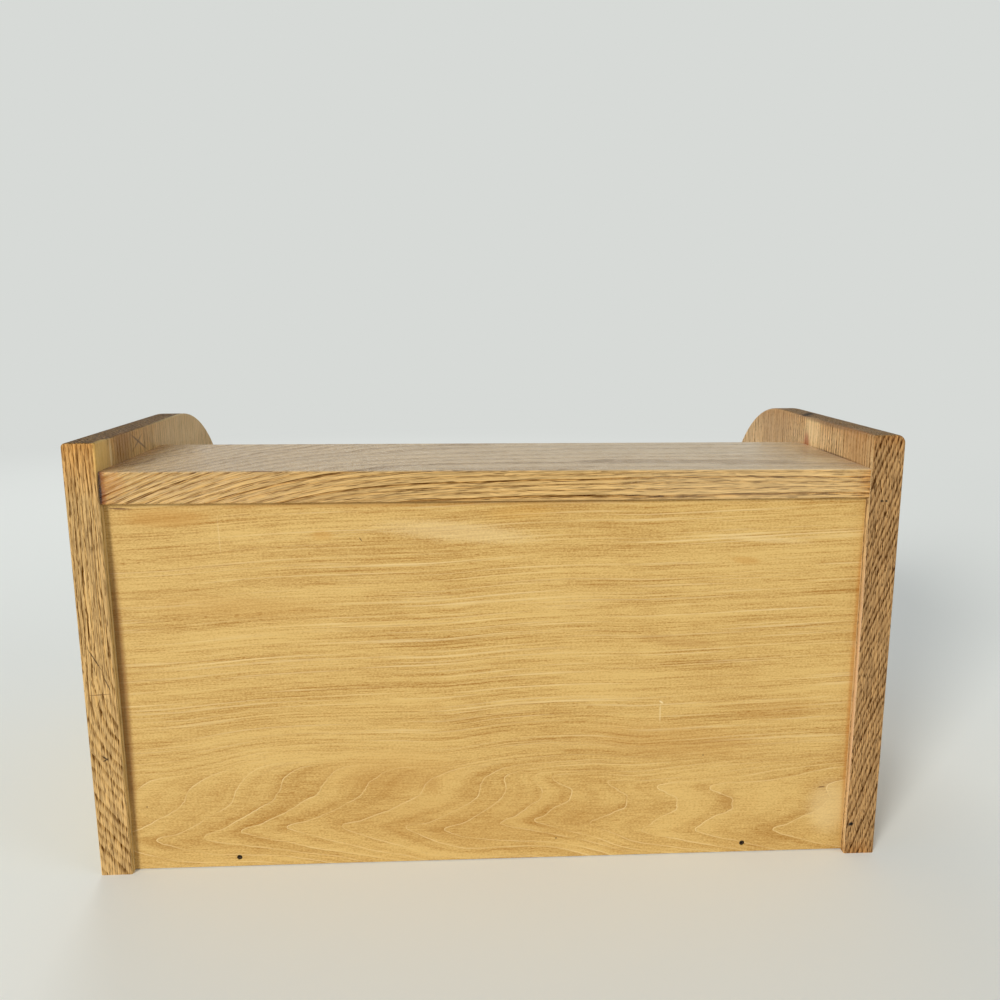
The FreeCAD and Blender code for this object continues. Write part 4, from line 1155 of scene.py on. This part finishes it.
fixings = {
    "around": 24,
    # a head's face: share of its radius, and millimetres down
    "nailFace": [(0, 0.1), (0.45, 0.08), (0.6, 0), (0.9, 0.01), (1, 0.12), (1, 0.6)],
    "screwFace": [(0, 0), (0.5, 0.02), (0.72, 0.14), (0.88, 0.45), (0.97, 0.95), (1, 1.4)],
    "nailHead": 1.0,           # height of a nail's head
    "nailPoint": 3.0,
    "grips": 4,                # rings pressed under a nail's head
    "gripPitch": 0.9, "gripWidth": 0.45, "gripDepth": 0.07,
    "screwHead": 2.4, "screwEase": 0.15,
    "slotWidth": 1.1, "slotDepth": 1.0,
    "threadPitch": 1.8, "threadDepth": 0.55,
    "threadBare": 4.0,         # plain shank under a screw's head
    "threadSteps": 6,          # rings of the mesh to a turn
}


def fixingsOf(node):
    # middle of the head's face, direction into the wood, length and head's radius of each
    shape = bmesh.new()
    shape.from_mesh(cadNodes[node].data)
    bmesh.ops.remove_doubles(shape, verts=shape.verts, dist=0.001 * mm)
    left = set(shape.verts)
    found = []
    while left:
        part = [left.pop()]
        for vertex in part:
            for edge in vertex.link_edges:
                other = edge.other_vert(vertex)
                if other in left:
                    left.remove(other)
                    part.append(other)
        low = Vector([min(vertex.co[i] for vertex in part) for i in range(3)])
        high = Vector([max(vertex.co[i] for vertex in part) for i in range(3)])
        axis = max(range(3), key=lambda i: high[i] - low[i])
        across = (axis + 1) % 3
        wide = (high[across] - low[across]) / 2
        middle = (low + high) / 2
        # the head is the end where points stand furthest from the axis
        upper = [vertex.co for vertex in part if vertex.co[axis] > middle[axis]]
        headHigh = any(abs(place[across] - middle[across]) > 0.95 * wide for place in upper)
        into = Vector((0, 0, 0))
        into[axis] = -1 if headHigh else 1
        head = middle.copy()
        head[axis] = high[axis] if headHigh else low[axis]
        found.append((head, into, high[axis] - low[axis], wide))
    shape.free()
    return sorted(found, key=lambda fixing: tuple(fixing[0]))


def turnedMesh(name, profile, twist=None):
    # a closed shape turned about Z from (radius, height) points; twist(radius, height, angle) changes
    # a radius
    shape = bmesh.new()
    count = fixings["around"]
    rings = []
    for radius, height in profile[1:-1]:
        ring = []
        for i in range(count):
            angle = 2 * math.pi * i / count
            wide = twist(radius, height, angle) if twist else radius
            ring.append(shape.verts.new((wide * math.cos(angle), wide * math.sin(angle), height)))
        rings.append(ring)
    joinRings(shape, rings)
    for ring, (radius, height) in ((rings[0], profile[0]), (rings[-1], profile[-1])):
        tip = shape.verts.new((0, 0, height))
        for one, two in zip(ring, ring[1:] + ring[:1]):
            shape.faces.new((one, two, tip))
    bmesh.ops.recalc_face_normals(shape, faces=shape.faces)
    return meshFrom(shape, name)


def nailMesh(length, head, shank):
    # wire nail: a thin round head with a shallow cup, grip rings, and a four-sided point
    deep, point = fixings["nailHead"] * mm, fixings["nailPoint"] * mm
    pitch, wide, grip = [fixings[key] * mm for key in ("gripPitch", "gripWidth", "gripDepth")]
    profile = [(radius * head, down * mm) for radius, down in fixings["nailFace"]] + [(shank, deep * 1.25)]
    for number in range(fixings["grips"]):
        at = deep * 2 + number * pitch
        profile += [(shank, at), (shank - grip, at + wide * 4 / 9), (shank, at + wide)]
    profile += [(shank, length - point), (shank * 0.55, length - point * 0.4),
                (shank * 0.12, length - 0.05 * mm), (0, length)]

    def square(radius, height, angle):
        part = min(max((height - length + point) / point, 0), 1) * 2
        corner = 1 / max(abs(math.cos(angle)), abs(math.sin(angle))) / math.sqrt(2)
        return radius * (1 + (corner - 1) * min(part, 1))

    return turnedMesh("nail", profile, square)


def screwMesh(length, head, shank):
    # pan-head wood screw; its slot is cut by the tree below
    deep, ease, bare, pitch, cut = [
        fixings[key] * mm for key in ("screwHead", "screwEase", "threadBare", "threadPitch", "threadDepth")]
    profile = [(radius * head, down * mm) for radius, down in fixings["screwFace"]]
    profile += [(head, deep - ease), (head - ease, deep), (shank, deep)]
    start, end = deep + bare, length - pitch
    steps = round((end - start) / pitch * fixings["threadSteps"])
    profile += [(shank, start + (end - start) * i / steps) for i in range(steps + 1)]
    profile += [(shank * 0.55, length - pitch * 0.4), (0, length)]

    def thread(radius, height, angle):
        if not start < height < length - pitch * 0.3:
            return radius
        turns = (height / pitch - angle / (2 * math.pi)) % 1
        return radius - cut * min(abs(turns - 0.5) * 2.6, 1) * min((height - start) / pitch, 1)

    return turnedMesh("screw", profile, thread)


def slotTree():
    # cuts a straight slot across the face at height nought
    tree, given = newGroup("cutSlot", "GeometryNodeTree", {
        "Head": ("Geometry", None),
        "Width": ("Float", 1.1 * mm),
        "Depth": ("Float", 1.0 * mm),
        "Reach": ("Float", 20 * mm),
    }, {"Slotted": "Geometry"})
    deep = addNode(tree, "Math", [given["Depth"], 2.0], operation="MULTIPLY")
    size = addNode(tree, "CombineXYZ", [given["Reach"], given["Width"], deep])
    bar = addNode(tree, "GeometryNodeMeshCube", {"Size": size})
    cut = addNode(tree, "GeometryNodeMeshBoolean", {"Mesh 1": given["Head"], "Mesh 2": bar},
                  operation="DIFFERENCE")
    addNode(tree, "NodeGroupOutput", [cut])
    return tree


def placeTree():
    # stands a nail or screw at every point, along the point's own direction
    tree, given = newGroup("placeFixings", "GeometryNodeTree", {
        "Points": ("Geometry", None),
        "Fixing": ("Object", None),
        "Seed": ("Int", 1),
        "Metal": ("Material", None),
    }, {"Fixings": "Geometry"})
    into = addNode(tree, "GeometryNodeInputNamedAttribute", {"Name": "into"}, data_type="FLOAT_VECTOR")
    turn = addNode(tree, "FunctionNodeAlignRotationToVector", {"Vector": into}, axis="Z")
    spin = addNode(tree, "FunctionNodeRandomValue", {"Min": 0.0, "Max": math.tau, "Seed": given["Seed"]},
                   data_type="FLOAT")
    spin = addNode(tree, "FunctionNodeAxisAngleToRotation", {"Axis": (0, 0, 1), "Angle": spin.outputs[1]})
    turn = addNode(tree, "FunctionNodeRotateRotation", [turn, spin], rotation_space="LOCAL")
    shape = addNode(tree, "GeometryNodeObjectInfo", {"Object": given["Fixing"]})
    placed = addNode(tree, "GeometryNodeInstanceOnPoints",
                     {"Points": given["Points"], "Instance": shape.outputs["Geometry"], "Rotation": turn})
    whole = addNode(tree, "GeometryNodeRealizeInstances", [placed])
    whole = addNode(tree, "GeometryNodeSetMaterial", {"Geometry": whole, "Material": given["Metal"]})
    addNode(tree, "NodeGroupOutput", [whole])
    return tree


# Bright wire nails and zinc plated screws, gone dull: grey metal with a brown bloom in places. The
# nails in the back have gone dark.
metals = {
    "wireNailSteel": ("#8C8A86", "#5E5348"),       # the metal and its bloom
    "tarnishedNailSteel": ("#4A4138", "#2A1E14"),
    "zincScrewSteel": ("#A9A8A2", "#7A746A"),
    "spots": 900.0,                    # scale of the bloom's noise
    "bloomFrom": (0.45, 0.62),         # noise over which the bloom fades in
    "gloss": (0.35, 0.6),              # roughness of the metal and of its bloom
    "bump": (0.2, 0.05),
}


def metalMaterial(name):
    material, tree = newMaterial(name)
    coords = addNode(tree, "TexCoord")
    spots = addNode(tree, "TexNoise",
                    {"Vector": coords.outputs["Object"], "Scale": metals["spots"], "Detail": 3.0})
    bloom = addNode(tree, "MapRange", [spots, *metals["bloomFrom"]])
    bare, dull = [srgb(code) for code in metals[name]]
    colour = addNode(tree, "Mix", {0: bloom, 6: bare, 7: dull}, data_type="RGBA").outputs[2]
    rough = addNode(tree, "MapRange", [bloom, 0, 1, *metals["gloss"]])
    finishMaterial(tree, colour, rough, spots, metals["bump"], {"Metallic": 1.0})
    return material


def addFixings(name, nodes, body, makeMesh, shank, metal, seed):
    # shank: its thickness in millimetres; the seed is that of how each is turned
    found = [fixing for node in nodes for fixing in fixingsOf(node)]
    length, wide = found[0][2:]
    shape = makeMesh(length, wide, shank / 2 * mm)
    if makeMesh is screwMesh:
        shape = throughNodes(shape, slotCutter,
                             {"Width": fixings["slotWidth"] * mm, "Depth": fixings["slotDepth"] * mm})
    shape = bpy.data.objects.new("fixing", shape)
    scene.collection.objects.link(shape)
    points = bpy.data.meshes.new("points")
    points.from_pydata([head for head, *rest in found], [], [])
    into = points.attributes.new("into", "FLOAT_VECTOR", "POINT")
    into.data.foreach_set("vector", [value for head, direction, *rest in found for value in direction])
    made = throughNodes(points, placer, {"Fixing": shape, "Seed": seed, "Metal": metal})
    bpy.data.objects.remove(shape)
    addPiece(name, made, body, nodes)


slotCutter = slotTree()
placer = placeTree()
steel = metalMaterial("wireNailSteel")
darkSteel = metalMaterial("tarnishedNailSteel")
zinc = metalMaterial("zincScrewSteel")
addFixings("caseNails", ["case_nails_left", "case_nails_right"], "case", nailMesh, 2.0, steel, 3)
addFixings("backNails", ["back_panel_nails"], "case", nailMesh, 1.6, darkSteel, 5)
addFixings("drawerNails", ["drawer_nails"], "drawer", nailMesh, 1.6, steel, 7)
addFixings("curtainScrews", ["curtain_knob_screws"], "curtain", screwMesh, 4.0, zinc, 11)
addFixings("drawerScrews", ["drawer_knob_screws"], "drawer", screwMesh, 4.0, zinc, 13)
print("fixings: nails and screws")
